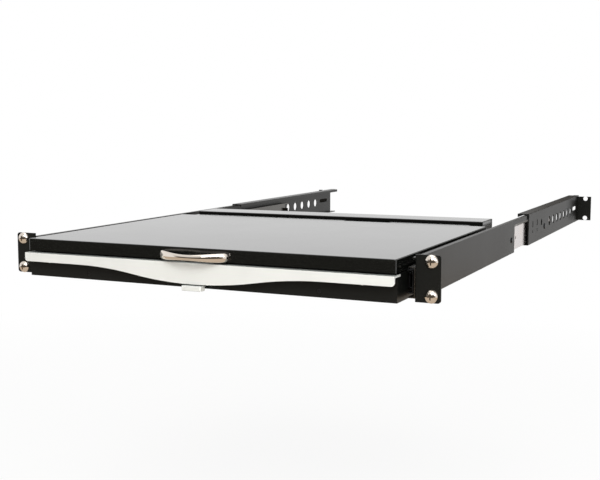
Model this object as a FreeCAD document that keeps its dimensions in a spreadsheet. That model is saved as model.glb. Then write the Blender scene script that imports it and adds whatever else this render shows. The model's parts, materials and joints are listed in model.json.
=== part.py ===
import FreeCAD, Part
import os
import re
import Sketcher

# Rackmount LCD console drawer, 1U high, for a 482.6 mm (19 inch) rack. Millimetres.
# Origin: centre of the four front rack screws, on the back face of the ears, which is the
# front face of the rack posts. +X right, +Y into the rack, +Z up.
# A left or right piece is drawn once and placed by its side, -1 or 1.

SIZES = (
    ("hole_spacing_x", 465.1, "rack hole columns, centre to centre"),
    ("hole_spacing_z", 31.75, "upper to lower rack hole of one unit"),
    ("ear_width_all", 482.6, "over both ears"),
    ("ear_height", 44.0, "ear"),
    ("ear_corner", 3.0, "ear corner radius"),
    ("rack_screw_r", 3.0, "M6 rack screw"),
    ("rack_neck_r", 2.6, "screw neck inside the ear, which keeps the screw captive"),
    ("recess_arm", 5.2, "cross recess, length of an arm pair"),
    ("recess_width", 1.1, "cross recess, width of an arm"),
    ("recess_depth", 2.4, "cross recess"),
    ("rack_screw_length", 14.0, "behind the ear"),
    ("rack_hole_r", 3.3, "clearance hole of the front ear"),
    ("rear_hole_r", 3.6, "coarser clearance hole of the rear ear"),
    ("rack_head_r", 6.4, "pan head"),
    ("rack_head_height", 4.2, "pan head"),
    ("rack_depth", 852.0, "front face of the front post to rear face of the rear post"),
    ("bracket_sheet", 2.0, "front bracket steel"),
    ("bracket_bottom", -21.5, "front bracket"),
    ("bracket_top", 18.8, "front bracket"),
    ("bracket_flange", 5.0, "top flange, inwards"),
    ("bracket_leg_length", 394.0, "full height part"),
    ("bracket_tongue_height", 5.5, "strip that runs on into the rear bracket"),
    ("bracket_tongue_end", 640.0, "end of that strip"),
    ("rear_sheet", 1.5, "rear bracket steel"),
    ("rear_front_end", 470.0, "rear bracket, front edge"),
    ("rear_bottom", -21.0, "rear bracket"),
    ("rear_top", 20.6, "rear bracket"),
    ("rear_top_flange", 15.0, "inwards"),
    ("rear_bottom_flange", 8.0, "inwards"),
    ("rear_lip", 4.0, "down-turned edge of the top flange"),
    ("rear_tab", 7.0, "flange ends past the rear ear"),
    ("rear_slot_length", 34.0, "adjusting slot by the rear ear"),
    ("rear_slot_r", 3.2, "half width of that slot"),
    ("rear_slot_inset", 32.0, "slot centre to the rear post"),
    ("rear_slot_z", 2.0, "height of that slot's centre"),
    ("mark_hole_r", 2.0, "small hole of each depth mark"),
    ("mark_offset", 5.0, "depth mark holes from the middle line"),
    ("mark_width", 4.0, "upright opening of each depth mark"),
    ("mark_height", 8.0, "upright opening"),
    ("access_hole_r", 4.5, "access hole for the clamp screw"),
    ("access_hole_z", 3.0, "height of the access hole"),
    ("clamp_inset", 105.0, "clamp screw to the bracket's front edge"),
    ("round_hole_r", 6.6, "lightening holes of the rear bracket"),
    ("round_hole_pitch", 28.9, "lightening holes"),
    ("round_hole_first", 611.0, "first lightening hole"),
    ("slide_gap", 0.3, "running gap"),
    ("race_gap", 2.5, "height of a ball race"),
    ("slide_z", -4.5, "centre height of the slides"),
    ("slide_thickness", 10.0, "drawer side to bracket"),
    ("outer_half", 14.5, "outer member, half height"),
    ("outer_sheet", 1.2, "outer member"),
    ("outer_lip", 6.7, "outer member flange depth"),
    ("outer_front", -1.0, "outer member, front end"),
    ("stop_half", 6.0, "half height of the rear stop"),
    ("end_hole_inset", 20.0, "last hole to the rear end"),
    ("slide_hole_r", 2.1, "screw holes of slide and bracket"),
    ("outer_rear", 648.0, "outer member, rear end"),
    ("middle_sheet", 1.0, "middle member"),
    ("middle_depth", 6.2, "middle member, width"),
    ("middle_web", 3.0, "bracket face of the slide to the middle member"),
    ("middle_front", 3.0, "middle member, front end"),
    ("window_r", 3.0, "windows in the middle member"),
    ("window_first", 40.0, "first window"),
    ("window_pitch", 100.0, "windows"),
    ("middle_length", 380.0, "middle member"),
    ("inner_sheet", 1.2, "inner member"),
    ("inner_depth", 4.9, "inner member, width"),
    ("inner_front", 12.0, "inner member, front end"),
    ("inner_length", 356.0, "inner member"),
    ("screw_inset", 16.0, "rear slide screw to the end of the bracket leg"),
    ("front_screw_y", 60.0, "front slide screw"),
    ("screw_head_height", 1.4, "low heads beside the slides"),
    ("screw_head_chamfer", 0.9, "edge of those heads"),
    ("bracket_screw_head_r", 3.6, "head"),
    ("bracket_screw_r", 2.0, "shank"),
    ("clamp_screw_head_r", 4.2, "head of the rear clamp screw"),
    ("slide_screw_head_r", 3.0, "head of the screws into the drawer"),
    ("slide_screw_first", 24.0, "first of them from the inner member's end"),
    ("slide_screw_pitch", 154.0, "their spacing"),
    ("cage_clear", 0.4, "cage to the web it runs along"),
    ("cage_inset", 1.2, "cage to the lip it runs under"),
    ("ball_r", 0.9, "slide ball"),
    ("cage_sheet", 0.5, "ball cage"),
    ("cage_length", 130.0, "ball cage"),
    ("outer_cage_front", 150.0, "cage between outer and middle member"),
    ("inner_cage_front", 120.0, "cage between middle and inner member"),
    ("drawer_width", 414.0, "tray and lid"),
    ("tray_front", -21.5, "front face of the tray"),
    ("tray_rear", 372.0, "rear edge of the tray"),
    ("tray_bottom", -21.1, "underside"),
    ("tray_sheet", 1.0, "tray steel"),
    ("tray_front_height", 14.6, "front wall"),
    ("wall_screw_x", 131.0, "two screws in the front wall"),
    ("wall_screw_z", -15.0, "their height"),
    ("wall_screw_r", 2.0, "their shank"),
    ("wall_screw_sink", 0.3, "screw face behind the wall's face"),
    ("wall_screw_fit", 0.2, "screw in its hole"),
    ("clinch_nut_r", 3.2, "nuts behind the wall"),
    ("clinch_nut_height", 3.0, "nuts behind the wall"),
    ("tray_side_top", 5.4, "top of the side walls"),
    ("trim_front", -31.0, "front face of the trim"),
    ("trim_overhang", 0.5, "trim past the drawer side"),
    ("trim_half", 4.7, "half height of the trim at its ends"),
    ("trim_wall", 2.0, "trim wall"),
    ("trim_ledge", 7.5, "top flange of the trim, onto the deck"),
    ("trim_stud_r", 2.5, "studs that hold the trim off the drawer"),
    ("trim_stud_z", -3.0, "height of the studs"),
    ("trim_corner", 3.2, "lower corners of the trim"),
    ("wave_half_length", 138.0, "centre to the end of the wave"),
    ("wave_drop", 11.8, "depth of the wave"),
    ("deck_sheet", 1.6, "deck"),
    ("deck_rear", 303.0, "rear edge of the deck"),
    ("keyboard_margin", 24.0, "drawer side to the keys"),
    ("key_gap", 0.8, "between keys"),
    ("key_top", 6.0, "top of the keys"),
    ("key_height", 5.4, "key cap"),
    ("key_taper", 9.0, "degrees"),
    ("key_travel", 2.0, "press"),
    ("plate_clear", 0.4, "pressed key to the plate under it"),
    ("plate_edge", 4.0, "plate past the keys"),
    ("board_sheet", 1.6, "circuit boards"),
    ("plate_post_x", 20.0, "inner posts of the plate"),
    ("plate_post_pitch", 120.0, "inner posts to outer posts"),
    ("plate_post_front", 6.0, "front posts past the keys' front edge"),
    ("plate_post_rear", 10.0, "rear posts past the last row's front edge"),
    ("plate_post_r", 3.5, "posts"),
    ("keyboard_front", 128.0, "front edge of the nearest key row"),
    ("function_gap", 5.0, "between the number and function rows"),
    ("pad_gap", 5.0, "letters to number pad"),
    ("touchpad_width", 86.0, "touchpad"),
    ("touchpad_depth", 52.0, "touchpad"),
    ("touchpad_front", 46.0, "front edge of the touchpad"),
    ("pad_button_depth", 13.0, "touchpad button"),
    ("pad_sink", 0.4, "touchpad below the deck"),
    ("pad_clear", 0.3, "touchpad to the spacer under it"),
    ("pad_spacer", 1.2, "spacer on the touchpad's board"),
    ("pad_board_edge", 3.0, "board past the touchpad"),
    ("pad_post_r", 3.0, "posts of that board"),
    ("pad_button_gap", 4.0, "touchpad to its buttons"),
    ("pad_button_rise", 0.6, "buttons above the deck"),
    ("press_gap", 0.2, "button to the spacer under it"),
    ("pad_button_round", 0.5, "edges of the buttons"),
    ("button_gap", 0.5, "round a button"),
    ("lid_front", -25.0, "front face of the lid"),
    ("lid_rear", 308.0, "rear face of the lid"),
    ("lid_bottom", 6.5, "underside of the closed lid"),
    ("lid_top", 19.3, "top of the closed lid"),
    ("lid_sheet", 1.2, "lid steel"),
    ("lid_corner", 2.0, "corner radius in plan"),
    ("bezel_sheet", 2.0, "bezel"),
    ("panel_margin", 27.75, "drawer side to the display module"),
    ("panel_depth", 296.5, "display module"),
    ("view_margin", 10.3, "side of the module to the visible picture"),
    ("panel_height", 7.6, "display module"),
    ("panel_centre", 141.0, "display centre, front to back"),
    ("view_depth", 270.3, "visible picture"),
    ("glass_sheet", 1.4, "display glass"),
    ("notch_depth", 10.0, "rear notches of the lid"),
    ("cable_notch_x", 58.0, "centre of the cable notch"),
    ("cable_notch_width", 60.0, "cable notch"),
    ("hinge_y", 312.0, "hinge axis"),
    ("hinge_z", 11.0, "hinge axis"),
    ("hinge_r", 4.2, "hinge barrel"),
    ("hinge_pin_r", 2.0, "hinge pin"),
    ("hinge_fit", 0.05, "pin clearance"),
    ("hinge_inset", 20.0, "drawer side to the inner end of a hinge barrel"),
    ("hinge_length", 17.6, "hinge barrel"),
    ("hinge_leaf", 2.0, "hinge leaf"),
    ("module_front", 326.0, "connector housing"),
    ("module_inset", 11.0, "drawer side to the connector housing"),
    ("module_top", 22.0, "connector housing"),
    ("module_sheet", 1.2, "connector housing"),
    ("handle_half_width", 37.0, "centre to the foot of the handle"),
    ("handle_reach", 20.0, "handle, from the lid's front"),
    ("handle_z", 11.6, "handle centre height"),
    ("handle_end_height", 9.4, "handle bar at its feet"),
    ("handle_mid_height", 5.6, "handle bar in the middle"),
    ("handle_bar", 4.0, "handle bar thickness"),
    ("latch_width", 22.0, "latch tab"),
    ("latch_front", -34.0, "front face of the latch tab"),
    ("latch_depth", 9.0, "latch tab"),
    ("tongue_half", 9.0, "half width of the latch's tongue"),
    ("tongue_end", 14.0, "rear end of the tongue"),
    ("tongue_sheet", 1.6, "tongue"),
    ("tongue_catch", 3.0, "catch at its end"),
    ("tongue_catch_height", 2.0, "catch at its end"),
    ("guide_foot", 4.5, "feet of the bridge over the tongue"),
    ("guide_clear", 0.5, "bridge beside the tongue"),
    ("guide_sheet", 1.2, "bridge"),
    ("guide_front", -12.0, "bridge"),
    ("guide_rear", 4.0, "bridge"),
    ("latch_bottom", -22.6, "latch tab"),
    ("latch_height", 5.2, "latch tab"),
)

doc = FreeCAD.newDocument("console_drawer")
sheet = doc.addObject("Spreadsheet::Sheet", "Sizes")
for line, (alias, size, meaning) in enumerate(SIZES, 1):
    sheet.set("A%d" % line, alias)
    sheet.set("B%d" % line, str(size))
    sheet.setAlias("B%d" % line, alias)
    sheet.set("C%d" % line, meaning)
doc.recompute()

ALIASES = {alias for alias, size, meaning in SIZES}
SIDES = (("left", -1), ("right", 1))
PLANES = {"XY": "XY_Plane", "XZ": "XZ_Plane", "YZ": "YZ_Plane"}
parts = {}


def bound(text):
    """Turns sheet names in a formula into references to the sheet."""
    return re.sub(r"[a-z]\w+", lambda word: "Sizes." + word[0] if word[0] in ALIASES else word[0], text)


def number(text):
    """The value of a formula, in millimetres."""
    result = sheet.evalExpression(bound(str(text)))
    return float(getattr(result, "Value", result))


def join(*terms):
    """Adds formulas."""
    return " + ".join("(%s)" % term for term in terms)


def half(term):
    return "(%s) / 2" % term


def minus(term):
    return "-1 * (%s)" % term


def sided(side, term):
    return "%d * (%s)" % (side, term)


def rect(x_low, y_low, x_high, y_high):
    """A closed outline: each corner is a pair of formulas."""
    return [(x_low, y_low), (x_high, y_low), (x_high, y_high), (x_low, y_high)]


def centred(x, y, width, height):
    return rect(join(x, minus(half(width))), join(y, minus(half(height))),
                join(x, half(width)), join(y, half(height)))


def circle(x, y, radius):
    return ("circle", x, y, radius)


def slot(x, y, length, radius):
    """A slot along the first axis, with each round end drawn as two quarter arcs."""
    def at(across, away, up):
        reach = join(half(length), "(%g) * (%s)" % (away - 1, radius))
        return join(x, sided(across, reach)), join(y, "%g * (%s)" % (up, radius))

    diagonal = 0.70710678
    outline = []
    for across in (1, -1):
        outline.append(at(across, 0, -across))
        for stop, up in ((1, 0), (0, across)):
            via_up = diagonal * across * (1 if stop == 0 else -1)
            outline.append(at(across, stop, up) + at(across, diagonal, via_up) + (radius,))
    return outline


class Piece:
    """One PartDesign body, whose sketches and features take their sizes from the sheet."""

    def __init__(self, label):
        self.label = label
        self.body = doc.addObject("PartDesign::Body", label)
        self.body.Label = label
        self.count = 0
        parts[label] = self.body

    def name(self, kind):
        self.count += 1
        return "%s_%s_%d" % (self.label, kind, self.count)

    def origin(self, role):
        return next(item for item in self.body.Origin.OriginFeatures if item.Role == role)

    def fix(self, sketch, kind, geometry, vertex, formula):
        index = sketch.addConstraint(
            Sketcher.Constraint(kind, -1, 1, geometry, vertex, number(formula)))
        sketch.setExpression("Constraints[%d]" % index, bound(formula))

    def add_circle(self, sketch, x, y, radius):
        centre = FreeCAD.Vector(number(x), number(y), 0)
        geometry = sketch.addGeometry(
            Part.Circle(centre, FreeCAD.Vector(0, 0, 1), number(radius)), False)
        self.fix(sketch, "DistanceX", geometry, 3, x)
        self.fix(sketch, "DistanceY", geometry, 3, y)
        index = sketch.addConstraint(Sketcher.Constraint("Radius", geometry, number(radius)))
        sketch.setExpression("Constraints[%d]" % index, bound(radius))

    def add_outline(self, sketch, corners):
        """A corner is (x, y), or (x, y, via_x, via_y, radius) where an arc arrives at it."""
        first = sketch.GeometryCount
        points = [FreeCAD.Vector(number(c[0]), number(c[1]), 0) for c in corners]
        for i, corner in enumerate(corners):
            start = points[i - 1]
            if len(corner) == 2:
                curve = Part.LineSegment(start, points[i])
            else:
                via = FreeCAD.Vector(number(corner[2]), number(corner[3]), 0)
                curve = Part.Arc(start, via, points[i])
            sketch.addGeometry(curve, False)
        for i, corner in enumerate(corners):
            end = 2
            following = first + (i + 1) % len(corners)
            if len(corner) == 5 and self.turns_back(sketch, first + i, points[i]):
                end = 1
            start = 1
            if self.turns_back(sketch, following, points[(i + 1) % len(corners)]):
                start = 2
            sketch.addConstraint(Sketcher.Constraint("Coincident", first + i, end, following, start))
            self.fix(sketch, "DistanceX", first + i, end, corner[0])
            self.fix(sketch, "DistanceY", first + i, end, corner[1])
            if len(corner) == 5:
                index = sketch.addConstraint(
                    Sketcher.Constraint("Radius", first + i, number(corner[4])))
                sketch.setExpression("Constraints[%d]" % index, bound(corner[4]))

    def turns_back(self, sketch, geometry, goal):
        """Whether a clockwise arc is stored with its end first."""
        return sketch.getPoint(geometry, 2).distanceToPoint(goal) > 1e-4

    def sketch(self, plane, offset, outlines):
        sketch = self.body.newObject("Sketcher::SketchObject", self.name("sketch"))
        sketch.AttachmentSupport = [(self.origin(PLANES[plane]), "")]
        sketch.MapMode = "FlatFace"
        sketch.setExpression("AttachmentOffset.Base.z", bound(offset))
        for outline in outlines:
            if outline[0] == "circle":
                self.add_circle(sketch, *outline[1:])
            else:
                self.add_outline(sketch, outline)
        return sketch

    def extrusion(self, kind, plane, start, end, outlines):
        """A pad or pocket from start to end along the axis across the plane."""
        offset = minus(start) if plane == "XZ" else start
        sketch = self.sketch(plane, offset, outlines)
        feature = self.body.newObject("PartDesign::" + kind, self.name(kind.lower()))
        feature.Profile = sketch
        feature.setExpression("Length", bound(join(end, minus(start))))
        feature.Reversed = (plane == "XZ") == (kind == "Pad")
        sketch.Visibility = False
        return feature

    def pad(self, plane, start, end, *outlines):
        return self.extrusion("Pad", plane, start, end, outlines)

    def cut(self, plane, start, end, *outlines):
        before = self.volume()
        feature = self.extrusion("Pocket", plane, start, end, outlines)
        if self.volume() > before - 1e-3:
            raise RuntimeError("%s cuts nothing" % feature.Name)
        return feature

    def revolve(self, plane, offset, axis_start, axis_end, *outlines):
        """A full turn of the outlines about the line between two points of their plane."""
        sketch = self.sketch(plane, offset, outlines)
        points = [FreeCAD.Vector(number(x), number(y), 0) for x, y in (axis_start, axis_end)]
        line = sketch.addGeometry(Part.LineSegment(*points), True)
        for vertex, (x, y) in enumerate((axis_start, axis_end), 1):
            self.fix(sketch, "DistanceX", line, vertex, x)
            self.fix(sketch, "DistanceY", line, vertex, y)
        feature = self.body.newObject("PartDesign::Revolution", self.name("revolution"))
        feature.Profile = sketch
        feature.ReferenceAxis = (sketch, ["Axis0"])
        feature.Angle = 360
        sketch.Visibility = False
        return feature

    def volume(self):
        doc.recompute()
        return self.body.Shape.Volume

    def edges(self, wanted):
        """Names of the edges whose middle, direction and length the test accepts."""
        doc.recompute()
        names = []
        for i, edge in enumerate(self.body.Shape.Edges, 1):
            first, last = edge.ParameterRange
            middle = edge.valueAt((first + last) / 2)
            along = edge.tangentAt((first + last) / 2)
            if wanted(middle, along, edge):
                names.append("Edge%d" % i)
        return names

    def dress(self, kind, size, wanted):
        names = self.edges(wanted)
        base = self.body.Tip
        feature = self.body.newObject("PartDesign::" + kind, self.name(kind.lower()))
        feature.Base = (base, names)
        feature.setExpression("Radius" if kind == "Fillet" else "Size", bound(size))
        return feature

    def fillet(self, size, wanted):
        return self.dress("Fillet", size, wanted)

    def chamfer(self, size, wanted):
        return self.dress("Chamfer", size, wanted)


# ---- shared places ------------------------------------------------------------------------
HOLE_X = half("hole_spacing_x")
HOLE_Z = half("hole_spacing_z")
SIDE_X = half("drawer_width")
BRACKET_IN = join(SIDE_X, "slide_thickness")
BRACKET_OUT = join(BRACKET_IN, "bracket_sheet")
REAR_IN = join(BRACKET_OUT, "slide_gap")
REAR_OUT = join(REAR_IN, "rear_sheet")
OUTER_IN = join(BRACKET_IN, minus("outer_sheet"))
MIDDLE_OUT = join(BRACKET_IN, minus("middle_web"))
MIDDLE_HALF = join("outer_half", minus("outer_sheet"), minus("race_gap"))
INNER_HALF = join(MIDDLE_HALF, minus("middle_sheet"), minus("race_gap"))
TRAY_FLOOR = join("tray_bottom", "tray_sheet")
TRAY_IN = join(SIDE_X, minus("tray_sheet"))
FRONT_WALL_TOP = join("tray_bottom", "tray_front_height")
DECK_TOP = join("trim_half", minus("trim_wall"))
DECK_BOTTOM = join(DECK_TOP, minus("deck_sheet"))
DECK_HALF = join(TRAY_IN, minus("slide_gap"))
LID_SKIN = join("lid_top", minus("lid_sheet"))
BEZEL_TOP = join("lid_bottom", "bezel_sheet")
PANEL_WIDTH = join("drawer_width", "-2 * panel_margin")
VIEW_WIDTH = join(PANEL_WIDTH, "-2 * view_margin")
HINGE_X = join(SIDE_X, minus("hinge_inset"))
MODULE_X = join(SIDE_X, minus("module_inset"))
KEY_UNITS = 19
KEY_PITCH = "(drawer_width - 2 * keyboard_margin - pad_gap) / %d" % KEY_UNITS
REAR_SCREW_Y = join("bracket_leg_length", minus("screw_inset"))
CLAMP_Y = join("rear_front_end", "clamp_inset")
TRIM_END = join(SIDE_X, "trim_overhang")
TRIM_UNDER = join("trim_half", minus("trim_wall"))


def channel(side, web_out, web_in, lip_in, z_low, z_high, wall):
    """C section in X and Z: the web is at web_out, the flanges end at lip_in."""
    return [(sided(side, web_out), z_low), (sided(side, web_out), z_high),
            (sided(side, lip_in), z_high), (sided(side, lip_in), join(z_high, minus(wall))),
            (sided(side, web_in), join(z_high, minus(wall))), (sided(side, web_in), join(z_low, wall)),
            (sided(side, lip_in), join(z_low, wall)), (sided(side, lip_in), z_low)]


def slide_channel(side, web_out, web_in, lip_in, half_height, wall):
    return channel(side, web_out, web_in, lip_in, join("slide_z", minus(half_height)),
                   join("slide_z", half_height), wall)


# ---- front brackets: ear, leg, top flange and the tongue that runs into the rear bracket ----
def front_bracket(name, side):
    piece = Piece("front_bracket_" + name)
    ear_out = half("ear_width_all")
    piece.pad("XZ", minus("bracket_sheet"), "0",
              rect(sided(side, BRACKET_IN), minus(half("ear_height")),
                   sided(side, ear_out), half("ear_height")))
    piece.pad("YZ", sided(side, BRACKET_IN) if side > 0 else sided(side, BRACKET_OUT),
              sided(side, BRACKET_OUT) if side > 0 else sided(side, BRACKET_IN),
              [("-0.5", "bracket_bottom"), ("bracket_leg_length", "bracket_bottom"),
               ("bracket_leg_length", join("bracket_top", minus("bracket_tongue_height"))),
               ("bracket_tongue_end", join("bracket_top", minus("bracket_tongue_height"))),
               ("bracket_tongue_end", "bracket_top"), ("-0.5", "bracket_top")])
    piece.pad("XZ", "0", "bracket_tongue_end",
              rect(sided(side, join(BRACKET_OUT, minus("bracket_flange"))),
                   join("bracket_top", minus("bracket_sheet")),
                   sided(side, join(BRACKET_OUT, "-0.5")), "bracket_top"))
    piece.cut("XZ", minus("bracket_sheet"), "0",
              *[circle(sided(side, HOLE_X), z, "rack_hole_r") for z in (HOLE_Z, minus(HOLE_Z))])
    low, high = (BRACKET_IN, BRACKET_OUT) if side > 0 else (minus(BRACKET_OUT), minus(BRACKET_IN))
    piece.cut("YZ", low, high,
              *[circle(y, "slide_z", "slide_hole_r") for y in ("front_screw_y", REAR_SCREW_Y)])
    edge_x = number(ear_out)
    piece.fillet("ear_corner", lambda middle, along, edge:
                 abs(along.y) > 0.99 and abs(abs(middle.x) - edge_x) < 0.01)
    bend_x = number(BRACKET_IN)
    piece.fillet("bracket_sheet * 0.75", lambda middle, along, edge:
                 abs(along.z) > 0.99 and abs(abs(middle.x) - bend_x) < 0.01
                 and abs(middle.y + number("bracket_sheet")) < 0.01)


def rack_screws():
    """Four M6 pan head rack screws with a cross recess and a neck that clears the ear's hole."""
    piece = Piece("rack_screws")
    places = [(sided(side, HOLE_X), sided(up, HOLE_Z)) for side in (-1, 1) for up in (-1, 1)]
    face = minus("bracket_sheet")
    head_front = join(face, minus("rack_head_height"))
    for start, end, radius in ((head_front, face, "rack_head_r"), (face, "0", "rack_neck_r"),
                               ("0", "rack_screw_length", "rack_screw_r")):
        piece.pad("XZ", start, end, *[circle(x, z, radius) for x, z in places])
    front_y = number(head_front)
    piece.fillet("rack_head_height * 0.85", lambda middle, along, edge:
                 abs(middle.y - front_y) < 0.01 and edge.Closed)
    for across_x, across_z in (("recess_arm", "recess_width"), ("recess_width", "recess_arm")):
        piece.cut("XZ", head_front, join(head_front, "recess_depth"),
                  *[centred(x, z, across_x, across_z) for x, z in places])


# ---- rear brackets: hooked channel, sliding on the tongue to suit the rack's depth ----------
def rear_bracket(name, side):
    piece = Piece("rear_bracket_" + name)
    lip_in = join(REAR_OUT, minus("rear_top_flange"))
    low_in = join(REAR_OUT, minus("rear_bottom_flange"))
    under_top = join("rear_top", minus("rear_sheet"))
    hook = join("rear_top", minus("rear_lip"))
    section = [(REAR_OUT, "rear_bottom"), (REAR_OUT, "rear_top"), (lip_in, "rear_top"),
               (lip_in, hook), (join(lip_in, "rear_sheet"), hook),
               (join(lip_in, "rear_sheet"), under_top), (REAR_IN, under_top),
               (REAR_IN, join("rear_bottom", "rear_sheet")),
               (low_in, join("rear_bottom", "rear_sheet")), (low_in, "rear_bottom")]
    ear_back = join("rack_depth", "rear_sheet")
    tab_end = join(ear_back, "rear_tab")
    piece.pad("XZ", "rear_front_end", tab_end, [(sided(side, x), z) for x, z in section])
    web = (REAR_IN, REAR_OUT) if side > 0 else (minus(REAR_OUT), minus(REAR_IN))
    piece.cut("YZ", join(web[0], "-0.1"), join(web[1], "0.1"),
              rect(ear_back, join("rear_bottom", "rear_sheet"), tab_end, under_top))
    piece.pad("XZ", "rack_depth", ear_back,
              rect(sided(side, REAR_IN), join("rear_bottom", "rear_sheet"),
                   sided(side, half("ear_width_all")), under_top))
    piece.cut("XZ", "rack_depth", ear_back,
              *[circle(sided(side, HOLE_X), z, "rear_hole_r") for z in (HOLE_Z, minus(HOLE_Z))])
    step = "round_hole_pitch"
    holes = [circle("round_hole_first + %d * %s" % (i, step), "0", "round_hole_r") for i in range(7)]
    for i in (4, 3):
        before = "round_hole_first - %d * %s" % (i, step)
        holes.append(circle(before, minus("mark_offset"), "mark_hole_r"))
        holes.append(centred(before, "mark_offset", "mark_width", "mark_height"))
    holes.append(circle("round_hole_first - 2 * %s" % step, "access_hole_z", "access_hole_r"))
    holes.append(slot("rack_depth - rear_slot_inset", "rear_slot_z", "rear_slot_length",
                      "rear_slot_r"))
    piece.cut("YZ", join(web[0], "-0.1"), join(web[1], "0.1"), *holes)
    tab = sorted((sided(side, join(lip_in, "-1")), sided(side, low_in)), key=number)
    piece.cut("XZ", ear_back, join(tab_end, "1"), rect(tab[0], hook, tab[1], "rear_top + 1"))
    corner_x = number(REAR_OUT)
    piece.fillet("rear_sheet * 0.6", lambda middle, along, edge:
                 abs(along.y) > 0.99 and abs(abs(middle.x) - corner_x) < 0.01
                 and edge.Length > 100)


# ---- slides --------------------------------------------------------------------------------
def slide_outer(name, side):
    piece = Piece("slide_outer_" + name)
    piece.pad("XZ", "outer_front", "outer_rear",
              slide_channel(side, BRACKET_IN, OUTER_IN, join(BRACKET_IN, minus("outer_lip")),
                            "outer_half", "outer_sheet"))
    web = (OUTER_IN, BRACKET_IN) if side > 0 else (minus(BRACKET_IN), minus(OUTER_IN))
    holes = [circle(y, "slide_z", "slide_hole_r") for y in
             ("front_screw_y", REAR_SCREW_Y, join("bracket_leg_length", "screw_inset"), CLAMP_Y,
              "outer_rear - end_hole_inset")]
    piece.cut("YZ", join(web[0], "-0.1"), join(web[1], "0.1"), *holes)
    stop = join(BRACKET_IN, minus("outer_lip"))
    piece.pad("XZ", join("outer_rear", minus("outer_sheet")), "outer_rear",
              rect(sided(side, stop), join("slide_z", minus("stop_half")), sided(side, OUTER_IN),
                   join("slide_z", "stop_half")))


def slide_middle(name, side):
    piece = Piece("slide_middle_" + name)
    piece.pad("XZ", "middle_front", join("middle_front", "middle_length"),
              slide_channel(side, MIDDLE_OUT, join(MIDDLE_OUT, minus("middle_sheet")),
                            join(MIDDLE_OUT, minus("middle_depth")), MIDDLE_HALF, "middle_sheet"))
    low, high = join(MIDDLE_OUT, minus("middle_sheet")), MIDDLE_OUT
    web = (low, high) if side > 0 else (minus(high), minus(low))
    first = join("middle_front", "window_first")
    piece.cut("YZ", join(web[0], "-0.1"), join(web[1], "0.1"),
              *[circle(join(first, "%d * window_pitch" % i), "slide_z", "window_r") for i in range(4)])


def slide_inner(name, side):
    piece = Piece("slide_inner_" + name)
    piece.pad("XZ", "inner_front", join("inner_front", "inner_length"),
              slide_channel(side, SIDE_X, join(SIDE_X, "inner_sheet"), join(SIDE_X, "inner_depth"),
                            INNER_HALF, "inner_sheet"))


def screw_rows(label, sides, x_face, head_r, places, shank_r=None, shank=None):
    """Screws along X: domed heads standing out from x_face, shanks through the sheet."""
    piece = Piece(label)
    for side in sides:
        start, end = sided(side, x_face), sided(side, join(x_face, "screw_head_height"))
        low, high = (start, end) if number(start) < number(end) else (end, start)
        piece.pad("YZ", low, high, *[circle(y, z, head_r) for y, z in places])
        if shank:
            back = sided(side, join(x_face, minus(shank)))
            low, high = (start, back) if number(start) < number(back) else (back, start)
            piece.pad("YZ", low, high, *[circle(y, z, shank_r) for y, z in places])
    tops = number(join(x_face, "screw_head_height"))
    piece.chamfer("screw_head_chamfer", lambda middle, along, edge:
                  edge.Closed and abs(abs(middle.x) - tops) < 0.01)


def slide_cage(label, race, web_x, lip_x, front):
    """Both sides' ball cages of one race: thin channels that carry balls along each flange."""
    cage = Piece(label)
    for side in (-1, 1):
        cage.pad("XZ", front, join(front, "cage_length"),
                 slide_channel(side, web_x, join(web_x, minus("cage_sheet")), lip_x,
                               join(race, half("cage_sheet")), "cage_sheet"))
        for up in (-1, 1):
            height = join("slide_z", sided(up, race))
            places = [join(front, "cage_length * %g" % share) for share in (0.1, 0.9)]
            balls = [ball_outline(y, height) for y in places]
            cage.revolve("YZ", sided(side, join(lip_x, "ball_r", "cage_clear")), (places[0], height),
                         (places[-1], height), *balls)


def ball_outline(y, z):
    """Half a ball's section, flat side on the axis of the row of balls."""
    diagonal = "0.70710678 * ball_r"
    return [(join(y, minus("ball_r")), z),
            (y, join(z, "ball_r"), join(y, minus(diagonal)), join(z, diagonal), "ball_r"),
            (join(y, "ball_r"), z, join(y, diagonal), join(z, diagonal), "ball_r")]


for side_name, side_sign in SIDES:
    front_bracket(side_name, side_sign)
    rear_bracket(side_name, side_sign)
    slide_outer(side_name, side_sign)
    slide_middle(side_name, side_sign)
    slide_inner(side_name, side_sign)
rack_screws()
screw_rows("bracket_screws", (-1, 1), BRACKET_OUT, "bracket_screw_head_r",
           [("front_screw_y", "slide_z"), (REAR_SCREW_Y, "slide_z")], "bracket_screw_r",
           join("bracket_sheet", "outer_sheet"))
for side_name, side_sign in SIDES:
    screw_rows("rear_clamp_screw_" + side_name, (side_sign,), REAR_OUT, "clamp_screw_head_r",
               [(CLAMP_Y, "slide_z")])
screw_rows("slide_screws", (-1, 1), join(SIDE_X, "inner_sheet"), "slide_screw_head_r",
           [(join("inner_front", "slide_screw_first", "%d * slide_screw_pitch" % i), "slide_z")
            for i in range(3)])
OUTER_RACE = half(join("outer_half", minus("outer_sheet"), MIDDLE_HALF))
INNER_RACE = half(join(MIDDLE_HALF, minus("middle_sheet"), INNER_HALF))
slide_cage("ball_cages_outer", OUTER_RACE, join(OUTER_IN, minus("cage_clear")),
           join(BRACKET_IN, minus("outer_lip"), "cage_inset"), "outer_cage_front")
slide_cage("ball_cages_inner", INNER_RACE, join(MIDDLE_OUT, minus("middle_sheet"), minus("cage_clear")),
           join(MIDDLE_OUT, minus("middle_depth"), "cage_inset"), "inner_cage_front")


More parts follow.
